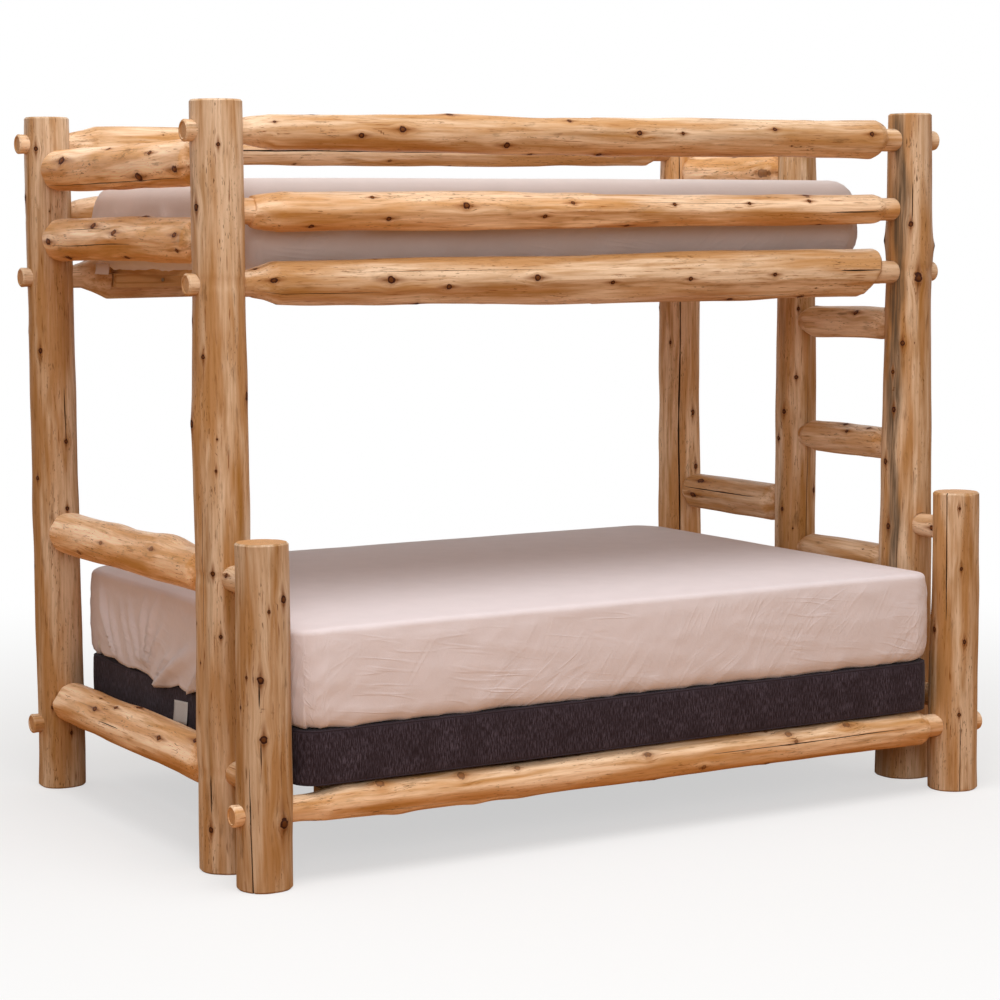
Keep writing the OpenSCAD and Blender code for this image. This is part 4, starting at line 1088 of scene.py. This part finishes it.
class Slab:
    """The box of a mattress or box spring, and the grid of a cloth laid over it."""

    def __init__(self, node, corner, crown, squeeze=0.0, puff=0.0):
        low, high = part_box(node)
        self.centre = ((low.x + high.x) / 2, (low.y + high.y) / 2)
        self.floor = low.z
        self.thick = high.z - low.z - crown + puff
        self.half = ((high.x - low.x) / 2, (high.y - low.y) / 2)
        self.corner, self.crown, self.squeeze = corner, crown, squeeze

    def narrow(self, x, height):
        """How far a point moves up or down where the slab thins towards its ends."""
        at_end = smooth_step((np.abs(x) - self.half[0] + THINNING) / THINNING)
        return self.squeeze * at_end * (1 - 2 * np.clip(height / self.thick, 0, 1))

    def grid(self, profile, steps, draw, bulge):
        """Points of a grid whose inner rows are the top and whose outer rows follow the profile,
        which is (distance out from the inner rectangle, height). Also each point's place in the
        flat cloth, its row down the profile, the way out there, and how far down each row is."""
        profile = np.array(profile)
        depth = np.concatenate([[0], np.cumsum(np.hypot(*np.diff(profile, axis=0).T))])
        rim = len(profile) - 1
        axes = []
        for half, step in zip(self.half, steps):
            inner = half - self.corner
            count = max(2, int(2 * inner / step))
            places = np.linspace(-inner, inner, count + 1)
            base = np.concatenate([np.full(rim, -inner), places, np.full(rim, inner)])
            rows = np.concatenate([np.arange(-rim, 0), np.zeros(count + 1, int), np.arange(1, rim + 1)])
            axes.append((base, rows))
        (bx, kx), (by, ky) = axes
        bx, by = np.meshgrid(bx, by, indexing="ij")
        kx, ky = np.meshgrid(kx, ky, indexing="ij")
        row = np.maximum(np.abs(kx), np.abs(ky))
        slant = 0.5 * math.pi * np.abs(ky) / np.maximum(np.abs(kx) + np.abs(ky), 1)
        way = stack(np.sign(kx) * np.cos(slant), np.sign(ky) * np.sin(slant))
        way = np.where((row == 0)[..., None], 0, way)
        out, height = profile[row, 0], profile[row, 1]
        x, y = bx + way[..., 0] * out, by + way[..., 1] * out
        share_x, share_y = np.clip(x / self.half[0], -1, 1), np.clip(y / self.half[1], -1, 1)
        side = np.clip(height / self.thick, 0, 1)
        swell = bulge * np.sin(np.pi * side) * (row > 0)
        pulled = draw * (1 - share_x ** 2) * np.abs(way[..., 1]) * (np.abs(kx) == 0)
        x = x + way[..., 0] * swell
        y = y + way[..., 1] * (swell - pulled)
        on_top = smooth_step((height / self.thick - 0.8) / 0.2)
        lift = self.crown * (1 - share_x ** 4) * (1 - share_y ** 4) * on_top
        narrow = self.narrow(share_x * self.half[0], height)
        points = stack(x + self.centre[0], y + self.centre[1], self.floor + height + lift + narrow)
        cloth = stack(bx + np.sign(kx) * depth[np.abs(kx)], by + np.sign(ky) * depth[np.abs(ky)], 0 * bx)
        return points, cloth, row, way, depth


def mattress_slab(node):
    sizes = settings("bedding")
    if node.startswith("upper"):
        return Slab(node, sizes.upper_corner, sizes.upper_crown, 0.0, sizes.puff)
    return Slab(node, sizes.corner, sizes.crown, sizes.squeeze)


def normals_of(points):
    """Outward directions of a grid of points."""
    du, dv = np.gradient(points, axis=0), np.gradient(points, axis=1)
    normal = np.cross(du, dv)
    return normal / np.maximum(np.linalg.norm(normal, axis=-1, keepdims=True), 1e-12)


def ridges(a, b, width, length, degrees, seed):
    """Long narrow folds, from 0 to 1, that lie at an angle across a cloth."""
    turn = math.radians(degrees)
    p = (a * math.cos(turn) + b * math.sin(turn)) / width
    q = (b * math.cos(turn) - a * math.sin(turn)) / length
    return (1 - np.abs(noise(stack(p, q), seed))) ** 3


def caught_folds(y, z):
    """How far the folds at the left end of the lower sheet stand out."""
    total = np.zeros_like(y)
    for y1, z1, y2, z2, half, height in END_FOLDS:
        length = math.hypot(y2 - y1, z2 - z1) * MM
        way = ((y2 - y1) * MM / length, (z2 - z1) * MM / length)
        dy, dz = y - y1 * MM, z - z1 * MM
        share = (dy * way[0] + dz * way[1]) / length
        bend = 5 * MM * noise(stack(share * 2.2, 0 * y + y1 / 50), 77)
        aside = dz * way[0] - dy * way[1] + bend
        width = half * MM * (0.3 + 0.5 * np.clip(share, 0, 1))
        width = np.where(aside > 0, width, 0.75 * width)
        crest = smooth_step(1 - np.abs(aside) / (2.1 * width))
        along = smooth_step((share + 0.06) / 0.14) * (1 - smooth_step((share - 0.5) / 0.6))
        total = np.maximum(total, 1.7 * height * MM * crest * along)
    return total


def sheet_points(slab, edge, hung, seed):
    """A fitted sheet drawn over a mattress: crisp top edge, slanting folds, gathered hem. Its left
    end hangs free if hung. Also each point's place in the flat cloth, and how it is pulled."""
    sizes = settings("bedding")
    foot = sizes.bottom_edge if hung else edge
    corner, thick = slab.corner, slab.thick
    profile = [(0, thick), *straight((0, thick), (corner - edge, thick), sizes.cloth_step)]
    profile += arc((corner - edge, thick - edge), edge, 0, 90, 5)[1:]
    profile += straight(profile[-1], (corner, foot), SIDE_STEP)
    profile += arc((corner - foot, foot), foot, 90, 180, 5)[1:]
    side_rows = len(profile) - 1
    profile += straight(profile[-1], (corner - foot - sizes.tuck, 0), TUCK_STEP)
    points, cloth, row, way, depth = slab.grid(profile, (sizes.cloth_step, sizes.cross_step),
                                               sizes.draw, sizes.bulge)
    top_rows = int(np.argmax(np.array(profile)[:, 1] < thick - edge * 0.9))
    down = depth[row] - depth[top_rows]
    side_length = depth[side_rows] - depth[top_rows]
    from_hem = np.clip(side_length - down, 0, None)
    on_side = smooth_step((down + 12 * MM) / (40 * MM)) * (row > 0)
    under = smooth_step((down - side_length + 25 * MM) / (25 * MM))
    x, y = points[..., 0] - slab.centre[0], points[..., 1] - slab.centre[1]
    out_x, out_y = np.abs(way[..., 0]), np.abs(way[..., 1])
    # The place round the mattress, in a stretch of the noise of its own for each side
    around = np.where(out_x > out_y, y, x)
    around = around + 3.1 * np.sign(way[..., 0]) * (out_x > 0.7) + 7.7 * np.sign(way[..., 1])
    loose = np.zeros_like(x)
    if hung:
        # The left end hangs free, its hem lowest where it has been pulled down
        left = way[..., 0] < -0.999
        loose = left * smooth_step((slab.half[1] - slab.corner - np.abs(y)) / (50 * MM))
        hem = np.interp(points[..., 1], *np.array(LEFT_HEM, float).T * MM)
        fall = np.clip(down / (depth[-1] - depth[top_rows]), 0, 1)
        start_z = slab.floor + thick - edge
        hung_z = start_z + (slab.floor + hem - start_z) * fall
        hung_x = slab.centre[0] - slab.half[0] - 7 * MM * np.sin(np.pi * fall ** 0.8) - 2 * MM * fall
        free = loose * smooth_step((fall - 0.02) / 0.2)
        for axis, place in ((0, hung_x), (2, hung_z)):
            points[..., axis] += free * (place - points[..., axis])
        under = under * (1 - loose)

    def patches(width, length, number):
        """Smooth patches of a side, from 0 to 1."""
        return 0.5 + 0.5 * noise(stack(around / width, from_hem / length), seed + number)

    # Slanting folds over the whole side: their height, width, length, slant and number, and patches
    folds = 0
    for share, width, length, degrees, number, mask in (
            (1.0, 0.045, 0.24, -55, 2, patches(0.33, 0.16, 1)),
            (0.8, 0.040, 0.20, -32, 4, patches(0.27, 0.2, 3)),
            (0.5, 0.045, 0.25, 80, 5, 1), (0 if hung else 2.0, 0.10, 0.45, -68, 14, 1)):
        fold = ridges(around, from_hem, width, length, degrees, seed + number)
        folds = folds + sizes.folds * share * mask * fold
    # Gathers over the hem, and swags between the places where it is caught
    low = np.exp(-from_hem / (60 * MM))
    folds = folds + sizes.gathers * low * ridges(around, from_hem, 0.048, 0.16, -50, seed + 6)
    swag = np.exp(-((from_hem - 14 * MM) / (16 * MM)) ** 2)
    folds = folds + sizes.gathers * patches(0.055, math.inf, 12) * swag
    at_corner = np.minimum(out_x, out_y) > 0.02
    folds = folds + at_corner * 1.5 * MM * noise(stack(around / 0.03, from_hem / 0.2), seed + 7) * low
    folds = folds * (1 - 0.5 * loose) + loose * caught_folds(points[..., 1], points[..., 2])
    # The top edge wanders a little, and the top is not quite flat
    near_edge = np.exp(-((down - 6 * MM) / (14 * MM)) ** 2)
    calm = (1.6 * MM * (near_edge * noise(stack(around / 0.11, 0 * around), seed + 13))
            + 0.5 * MM * noise(stack(x / 0.14, y / 0.22), seed + 9) * (1 - on_side))
    rise = SHEET_LIFT + on_side * (1 - under) * folds + calm
    points = points + normals_of(points) * rise[..., None]
    pulled = on_side * (0.55 + 0.45 * np.exp(-from_hem / (90 * MM))) * (1 + 0.4 * loose)
    return points, cloth, pulled


def cloth_mesh(name, points, cloth, pulled, material, thickness):
    """A grid of points as cloth of this thickness, with what the cotton material reads."""
    rows, columns = points.shape[:2]
    thing = mesh_object(name, points.reshape(-1, 3), grid_faces(rows, columns), [material])
    set_attribute(thing.data, "cloth", cloth.reshape(-1, 3))
    set_attribute(thing.data, "pulled", pulled.reshape(-1))
    wall = thing.modifiers.new("cloth", "SOLIDIFY")
    wall.thickness, wall.offset = thickness, 1.0
    return baked(thing)


def small_cloth(name, corner, across, down, rows, curl, material, thickness):
    """A small piece of cloth that hangs from an edge and curls: a tag, or a loose bit of hem."""
    a, b = np.meshgrid(np.linspace(0, 1, 11), np.linspace(0, 1, rows), indexing="ij")
    across, down = np.array(across), np.array(down)
    outward = np.cross(down, across)
    outward = outward / np.linalg.norm(outward)
    lift = curl * b ** 2 * (0.6 + 0.4 * np.sin(2.6 * a + 0.5)) + 0.3 * curl * np.sin(9 * a) * b
    points = np.array(corner) + a[..., None] * across + b[..., None] * down + lift[..., None] * outward
    flat = stack(a * np.linalg.norm(across), b * np.linalg.norm(down), 0 * a)
    return cloth_mesh(name, points, flat, 0 * a, material, thickness)


def padded_slab(name, slab, top_edge, bottom_edge, step, draw, bulge, materials):
    """A closed padded block: a crowned top and a flat underside that meet half way down."""
    faces, points, clothes, start = [], [], [], 0
    for edge, face, centre, under in ((top_edge, slab.thick, slab.thick - top_edge, False),
                                      (bottom_edge, 0, bottom_edge, True)):
        inner = slab.corner - edge
        profile = [(0, face), *straight((0, face), (inner, face), step)]
        profile += arc((inner, centre), edge, 180 if under else 0, 90, 4)[1:]
        profile += straight(profile[-1], (slab.corner, slab.thick / 2), step)
        grid, cloth, _, way, _ = slab.grid(profile, (step, step), draw, bulge)
        # Down the sides the cloth's second axis is the height, so that yarns run up and down
        out_x, out_y = np.abs(way[..., 0]), np.abs(way[..., 1])
        around = np.where(out_x > out_y, grid[..., 1], grid[..., 0])
        side = np.maximum(out_x, out_y)[..., None] > 0
        cloth = np.where(side, stack(around, grid[..., 2], 0 * around), cloth)
        made = grid_faces(*grid.shape[:2], start=start)
        faces += [f[::-1] for f in made] if under else made
        points.append(grid.reshape(-1, 3))
        clothes.append(cloth.reshape(-1, 3))
        start += len(points[-1])
    thing = mesh_object(name, np.concatenate(points), faces, materials)
    set_attribute(thing.data, "cloth", np.concatenate(clothes))
    face_outwards(thing.data, 0.3 * MM)
    return thing


# Geometry Nodes

# A screw's head is turned by a random angle from 0 to this
LARGEST_SPIN = 6.28


def new_tree(name, *sizes):
    """A geometry tree with a geometry input and output, and sizes as (name, kind of socket, value).
    Gives back the tree, its add and its inputs."""
    tree = bpy.data.node_groups.new(name, "GeometryNodeTree")
    for side in ("INPUT", "OUTPUT"):
        tree.interface.new_socket("Geometry", in_out=side, socket_type="NodeSocketGeometry")
    for label, kind, value in sizes:
        socket = tree.interface.new_socket(label, in_out="INPUT", socket_type="NodeSocket" + kind)
        if value is not None:
            socket.default_value = value
    return tree, functools.partial(add, tree), add(tree, "NodeGroupInput", out=None)


def run_tree(thing, tree, values):
    """Runs a geometry tree on an object and leaves a plain mesh."""
    modifier = thing.modifiers.new(tree.name, "NODES")
    modifier.node_group = tree
    for item in tree.interface.items_tree:
        if item.item_type == "SOCKET" and item.in_out == "INPUT" and item.name in values:
            modifier[item.identifier] = values[item.name]
    return baked(thing)


def close_tree(tree, geometry, material, smooth=True):
    """Ends a tree: its faces smooth or flat, its instances made real, its material set."""
    shaded = add(tree, "GeometryNodeSetShadeSmooth", {"Geometry": geometry, "Shade Smooth": smooth})
    real = add(tree, "GeometryNodeRealizeInstances", shaded)
    done = add(tree, "GeometryNodeSetMaterial", {"Geometry": real, "Material": material})
    add(tree, "NodeGroupOutput", done, out=None)
    return tree


def screw_tree():
    """A screw at each point, head up the point's facing: a shank, a tip and a cross-recessed head."""
    tree, node, inputs = new_tree("screw_row", ("Shank Diameter", "Float", 8 * MM),
                                  ("Length", "Float", 72 * MM), ("Seed", "Int", 4),
                                  ("Material", "Material", None))
    wide, length = inputs["Shank Diameter"], inputs["Length"]
    times = "Math MULTIPLY"
    radius, point_l, head_h = (node(times, wide, share) for share in (0.5, 1.2, 0.5))
    body_l = node("Math SUBTRACT", length, point_l)
    shank = node("GeometryNodeMeshCylinder", {"Vertices": 16, "Radius": radius, "Depth": body_l})
    tip = node("GeometryNodeMeshCone", {"Vertices": 16, "Radius Top": radius, "Radius Bottom": 0.3 * MM,
                                        "Depth": point_l})
    head = node("GeometryNodeMeshCone", {"Vertices": 32, "Radius Top": node(times, wide, 0.8),
                                         "Radius Bottom": wide, "Depth": head_h})
    places = [(shank, node(times, body_l, -0.5)), (tip, node(times, length, -1.0))]
    for a, b in ((0.95, 0.2), (0.2, 0.95)):
        size = node("CombineXYZ", node(times, wide, a), node(times, wide, b), head_h)
        places.append((node("GeometryNodeMeshCube", size), node(times, head_h, 0.65)))
    shank, tip, *slots = (
        node("GeometryNodeTransform", {"Geometry": mesh, "Translation": node("CombineXYZ", {"Z": rise})})
        for mesh, rise in places)
    recess = node("GeometryNodeMeshBoolean DIFFERENCE", {"Mesh 1": head, "Mesh 2": slots})
    screw = node("GeometryNodeJoinGeometry", [shank, tip, recess])
    facing = node("GeometryNodeInputNamedAttribute", {"Name": "facing"}, data_type="FLOAT_VECTOR")
    turn = node("FunctionNodeAlignRotationToVector", {"Vector": facing}, axis="Z")
    spin = node("FunctionNodeRandomValue", {"Max": (0, 0, LARGEST_SPIN), "Seed": inputs["Seed"]},
                out="Value", data_type="FLOAT_VECTOR")
    spun = node("FunctionNodeRotateRotation", turn, {"Rotate By": spin}, rotation_space="LOCAL")
    row = node("GeometryNodeInstanceOnPoints", node("GeometryNodeMeshToPoints", inputs["Geometry"]),
               {"Instance": screw, "Rotation": spun})
    return close_tree(tree, row, inputs["Material"], smooth=False)


def piping_tree():
    """A round cord along a closed outline, as a tape edge or a piping."""
    tree, node, inputs = new_tree("piping", ("Radius", "Float", 3 * MM), ("Spacing", "Float", 12 * MM),
                                  ("Material", "Material", None))
    curve = node("GeometryNodeMeshToCurve", inputs["Geometry"])
    even = node("GeometryNodeResampleCurve", {"Curve": curve, "Length": inputs["Spacing"]}, mode="LENGTH")
    ring = node("GeometryNodeCurvePrimitiveCircle", {"Resolution": 8, "Radius": inputs["Radius"]})
    tube = node("GeometryNodeCurveToMesh", {"Curve": even, "Profile Curve": ring})
    return close_tree(tree, tube, inputs["Material"])


def edge_cord(name, slab, inset, z, draw, tree, values, slot):
    """A cord round a slab at a height, on its rounded outline drawn in by inset."""
    r = slab.corner - inset
    inner = [half - slab.corner for half in slab.half]
    points = []
    for quarter, (sx, sy) in enumerate(((1, 1), (-1, 1), (-1, -1), (1, -1))):
        for k in range(13):
            a = math.radians(90 * (quarter + k / 12))
            points.append((sx * inner[0] + r * math.cos(a), sy * inner[1] + r * math.sin(a)))
        if quarter in (0, 2):
            for share in np.linspace(0, 1, 25)[1:-1]:
                x = sx * inner[0] * (1 - 2 * share)
                pulled = draw * (1 - (x / slab.half[0]) ** 2)
                points.append((x, sy * (slab.half[1] - inset - pulled)))
    points = [(x + slab.centre[0], y + slab.centre[1], slab.floor + z + slab.narrow(x, z)) for x, y in points]
    edges = [(i, (i + 1) % len(points)) for i in range(len(points))]
    cord = mesh_object(name, points, [], [], smooth=False, edges=edges)
    return finish_piece(run_tree(cord, tree, values), slot)


def screw_points(node):
    """Where a CAD node's screws have the undersides of their heads, and which way those face."""
    work = bmesh.new()
    work.from_mesh(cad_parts[node].data)
    bmesh.ops.remove_doubles(work, verts=work.verts, dist=0.01 * MM)
    found, seen = [], set()
    for vert in work.verts:
        if vert in seen:
            continue
        island, queue = [], [vert]
        seen.add(vert)
        while queue:
            here = queue.pop()
            island.append(here.co.copy())
            for edge in here.link_edges:
                other = edge.other_vert(here)
                if other not in seen:
                    seen.add(other)
                    queue.append(other)
        points = np.array(island)
        low, high = points.min(0), points.max(0)
        axis = int(np.argmax(high - low))
        centre = (low + high) / 2
        wide = np.hypot(*np.delete(points - centre, axis, axis=1).T)
        head = points[wide > wide.max() - 0.05 * MM][:, axis]
        up = 1 if head.mean() > centre[axis] else -1
        seat = centre.copy()
        seat[axis] = head.min() if up > 0 else head.max()
        facing = np.zeros(3)
        facing[axis] = up
        found.append((seat, facing, wide.max(), abs((low if up > 0 else high)[axis] - seat[axis])))
    work.free()
    return found


# Operators

# The lamps look at the bed's middle at this height
LAMP_AIM = 0.9


class BUNK_OT_logs(Operator):
    """Rebuild every log with its knots, cracks and sawn sockets"""

    bl_idname = "bunk.logs"
    bl_label = "Peeled Logs"

    def execute(self, context):
        materials = [cedar_material(), end_grain_material()]
        for name in POSTS + RAILS:
            make_log(name, materials)
        return {"FINISHED"}


class BUNK_OT_boards(Operator):
    """Give the ledgers and slats planed pine"""

    bl_idname = "bunk.boards"
    bl_label = "Ledgers and Slats"

    def execute(self, context):
        along_x, along_y = pine_material("ledger_pine", 0), pine_material("slat_pine", 1)
        for name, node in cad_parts.items():
            if "_slat_" in name or name.endswith("_ledger"):
                node.data.materials.clear()
                node.data.materials.append(along_x if name.endswith("_ledger") else along_y)
        return {"FINISHED"}


class BUNK_OT_screws(Operator):
    """Set cross-recessed screws where the CAD model has its screws"""

    bl_idname = "bunk.screws"
    bl_label = "Screws"

    def execute(self, context):
        tree, zinc = screw_tree(), zinc_material()
        for node in ("tenon_screws", "ledger_screws", "slat_screws"):
            spots = screw_points(node)
            thing = mesh_object("zinc_" + node, [s[0] for s in spots], [], [zinc])
            set_attribute(thing.data, "facing", [s[1] for s in spots])
            run_tree(thing, tree, {"Shank Diameter": spots[0][2], "Length": spots[0][3], "Material": zinc})
            finish_piece(thing, "zinc_screw", node)
        return {"FINISHED"}


class BUNK_OT_mattresses(Operator):
    """Pad the two mattresses, with their tape edges"""

    bl_idname = "bunk.mattresses"
    bl_label = "Mattresses"

    def execute(self, context):
        sizes, look = settings("bedding"), settings("finishes")
        ticking = cotton_material("mattress_ticking", look.ticking, 3.0 * MM)
        tape = plain_cloth_material("edge_tape", look.tape, 1.5 * MM)
        tree = piping_tree()
        for node, edge in (("lower_mattress", sizes.top_edge), ("upper_mattress", sizes.upper_top_edge)):
            slab = mattress_slab(node)
            top_edge = edge + 3 * MM
            foot = sizes.bottom_edge if node == "lower_mattress" else edge
            thing = padded_slab("padded_" + node, slab, top_edge, foot,
                                22 * MM, sizes.draw + 1 * MM, sizes.bulge - 2 * MM, [ticking])
            finish_piece(thing, "mattress_ticking", node)
            # Each tape lies sunk in the padding, half way round the rounded edge
            for place, edge_r, up in (("top", top_edge, 1), ("bottom", foot, -1)):
                in_by = edge_r - (edge_r - sizes.piping - 1 * MM) * math.sqrt(0.5)
                z = slab.thick - in_by if up > 0 else in_by
                edge_cord(f"tape_edge_{place}_{node}", slab, in_by, z, sizes.draw, tree,
                          {"Radius": sizes.piping, "Material": tape}, "mattress_ticking")
        return {"FINISHED"}


class BUNK_OT_sheets(Operator):
    """Draw a fitted sheet over each mattress"""

    bl_idname = "bunk.sheets"
    bl_label = "Fitted Sheets"

    def execute(self, context):
        sizes, look = settings("bedding"), settings("finishes")
        # The upper sheet takes the darker cotton, which is painted shade
        for node, edge, hung, seed, colour in (("lower", sizes.top_edge, True, 31, look.cotton),
                                               ("upper", sizes.upper_top_edge, False, 57, look.upper_cotton_painted_shade)):
            cotton = cotton_material(node + "_woven_cotton", colour, 2.0 * MM)
            slab = mattress_slab(node + "_mattress")
            points, cloth, pulled = sheet_points(slab, edge, hung, seed)
            thing = cloth_mesh("fitted_" + node + "_sheet", points, cloth, pulled, cotton, sizes.cloth)
            finish_piece(thing, "cotton_sheet", node + "_sheet")
        low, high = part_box("upper_mattress")
        corner = (low.x - 4 * MM, high.y - 70 * MM, low.z + 9 * MM)
        flap = small_cloth("loose_hem", corner, (0, -95 * MM, 0), (-3 * MM, -12 * MM, -30 * MM), 9, 7 * MM,
                           cotton, sizes.cloth)
        finish_piece(flap, "cotton_sheet")
        return {"FINISHED"}


class BUNK_OT_box_spring(Operator):
    """Upholster the box spring, with its welts and blank tag"""

    bl_idname = "bunk.box_spring"
    bl_label = "Box Spring"

    def execute(self, context):
        sizes, look = settings("bedding"), settings("finishes")
        slab = Slab("box_spring", sizes.spring_corner, 0.0)
        thing = padded_slab("upholstered_box_spring", slab, sizes.spring_edge, sizes.spring_edge,
                            18 * MM, 0.0, 1.5 * MM, [charcoal_material()])
        finish_piece(thing, "charcoal_upholstery", "box_spring")
        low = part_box("box_spring")[0]
        tree, sunk = piping_tree(), 2.6 * MM
        for place, z in (("top", slab.thick - sunk), ("bottom", sunk)):
            edge_cord(f"{place}_welt", slab, sunk, z, 0.0, tree,
                      {"Radius": 2.4 * MM, "Spacing": 10 * MM, "Material": thing.data.materials[0]},
                      "charcoal_upholstery")
        paper = plain_cloth_material("tag_ribbon", look.tag, 1.2 * MM, 0.8)
        tag = small_cloth("blank_tag", (low.x - 2 * MM, 52 * MM, low.z + 96 * MM), (0, -88 * MM, 6 * MM),
                          (-1 * MM, 0, -58 * MM), 9, 5 * MM, paper, 0.5 * MM)
        finish_piece(tag, "cotton_sheet")
        return {"FINISHED"}


class BUNK_OT_stage(Operator):
    """Add the floor, the lamps, the room light and the camera"""

    bl_idname = "bunk.stage"
    bl_label = "Stage"

    def execute(self, context):
        stage = settings("stage")
        scene = context.scene
        scene.view_settings.view_transform = "Standard"
        turn, tilt, roll = stage.turn, stage.tilt, stage.roll
        ahead = Vector((math.sin(turn) * math.cos(tilt), math.cos(turn) * math.cos(tilt), -math.sin(tilt)))
        right = ahead.cross(Vector((0, 0, 1))).normalized()
        up = right.cross(ahead)
        rolled_right = right * math.cos(roll) - up * math.sin(roll)
        rolled_up = up * math.cos(roll) + right * math.sin(roll)
        camera = bpy.data.objects.new("camera", bpy.data.cameras.new("camera"))
        scene.collection.objects.link(camera)
        camera.matrix_world = Matrix.Translation(stage.eye) @ Matrix(
            (rolled_right, rolled_up, -ahead)).transposed().to_4x4()
        camera.data.lens, camera.data.sensor_width = stage.lens, 36
        camera.data.clip_end = 200
        scene.camera = camera

        for name, place, size, power in (("key_lamp", (-0.9, -1.9, 6.2), 4.6, stage.key),
                                         ("fill_lamp", (-3.6, -6.0, 3.0), 2.4, stage.fill)):
            lamp = bpy.data.lights.new(name, "AREA")
            lamp.shape, lamp.size, lamp.energy = "DISK", size, power
            thing = bpy.data.objects.new(name, lamp)
            thing.location = place
            aim = Vector((0, 0, LAMP_AIM)) - Vector(place)
            thing.rotation_euler = aim.to_track_quat("-Z", "Y").to_euler()
            scene.collection.objects.link(thing)

        scene.world = bpy.data.worlds.new("room")
        scene.world.use_nodes = True
        tree = scene.world.node_tree
        tree.nodes.clear()
        path = add(tree, "LightPath", out=None)
        seen = add(tree, "Math MAXIMUM", path["Is Camera Ray"], path["Is Glossy Ray"])
        seen = add(tree, "Math MAXIMUM", seen, path["Is Transmission Ray"])
        strength = add(tree, "MapRange", {"Value": seen, "To Min": stage.sky, "To Max": 1.0})
        colour = add(tree, "Mix", {0: seen, 6: rgba(stage.room), 7: WHITE}, **COLOURS)
        room = add(tree, "Background", {"Color": colour, "Strength": strength})
        add(tree, "OutputWorld", {"Surface": room}, out=None)

        steps = 96
        rings = [1 * MM, 2.0, 3.5, 6.0, 30.0]
        points = [(r * math.cos(2 * math.pi * k / steps), r * math.sin(2 * math.pi * k / steps), 0)
                  for r in rings for k in range(steps)]
        material, node, shader = new_material("studio_floor", Roughness=0.9)
        faces = grid_faces(len(rings), steps, closed=True)
        floor = mesh_object("floor", points, faces, [material], smooth=False)
        far = node("VectorMath LENGTH", node("TexCoord", out="Object"), out="Value")
        fade = node("MapRange SMOOTHSTEP", far, 1.4, 4.2, 0.58, 1.0)
        camera_ray = node("LightPath", out="Is Camera Ray")
        # The floor that the camera sees is pale, and the light that it throws back is that of boards
        tone = node("Mix", {0: camera_ray, 6: rgba(stage.bounce), 7: (0.9, 0.9, 0.9, 1)}, **COLOURS)
        links = material.node_tree.links
        links.new(tone, shader.inputs["Base Color"])
        both = node("MixShader", node("Math MULTIPLY", camera_ray, fade), shader.outputs[0],
                    node("Emission", WHITE, 1.0))
        links.new(both, material.node_tree.nodes["Material Output"].inputs["Surface"])
        return {"FINISHED"}


class BUNK_PT_panel(Panel):
    bl_label = "Log Bunk Bed"
    bl_idname = "BUNK_PT_panel"
    bl_space_type = "VIEW_3D"
    bl_region_type = "UI"
    bl_category = "Log Bunk"

    def draw(self, context):
        for group in GROUPS:
            box = self.layout.box()
            box.label(text=group.replace("_", " ").title())
            values = settings(group)
            for name in values.bl_rna.properties.keys():
                if name not in ("rna_type", "name"):
                    box.prop(values, name)
        for operator in OPERATORS:
            self.layout.operator(operator.bl_idname)


GROUPS = {"logs": LogSizes, "finishes": Finishes, "bedding": BeddingSizes, "stage": Stage}
OPERATORS = [BUNK_OT_logs, BUNK_OT_boards, BUNK_OT_screws, BUNK_OT_mattresses, BUNK_OT_sheets,
             BUNK_OT_box_spring, BUNK_OT_stage]


def register():
    for made in [*GROUPS.values(), *OPERATORS, BUNK_PT_panel]:
        bpy.utils.register_class(made)
    for name, group in GROUPS.items():
        setattr(bpy.types.Scene, "bunk_" + name, PointerProperty(type=group))


def unregister():
    for name in GROUPS:
        delattr(bpy.types.Scene, "bunk_" + name)
    for made in reversed([*GROUPS.values(), *OPERATORS, BUNK_PT_panel]):
        bpy.utils.unregister_class(made)


def main():
    register()
    for operator in OPERATORS:
        group, name = operator.bl_idname.split(".")
        getattr(getattr(bpy.ops, group), name)()
    bpy.context.view_layer.update()


if __name__ == "__main__":
    main()
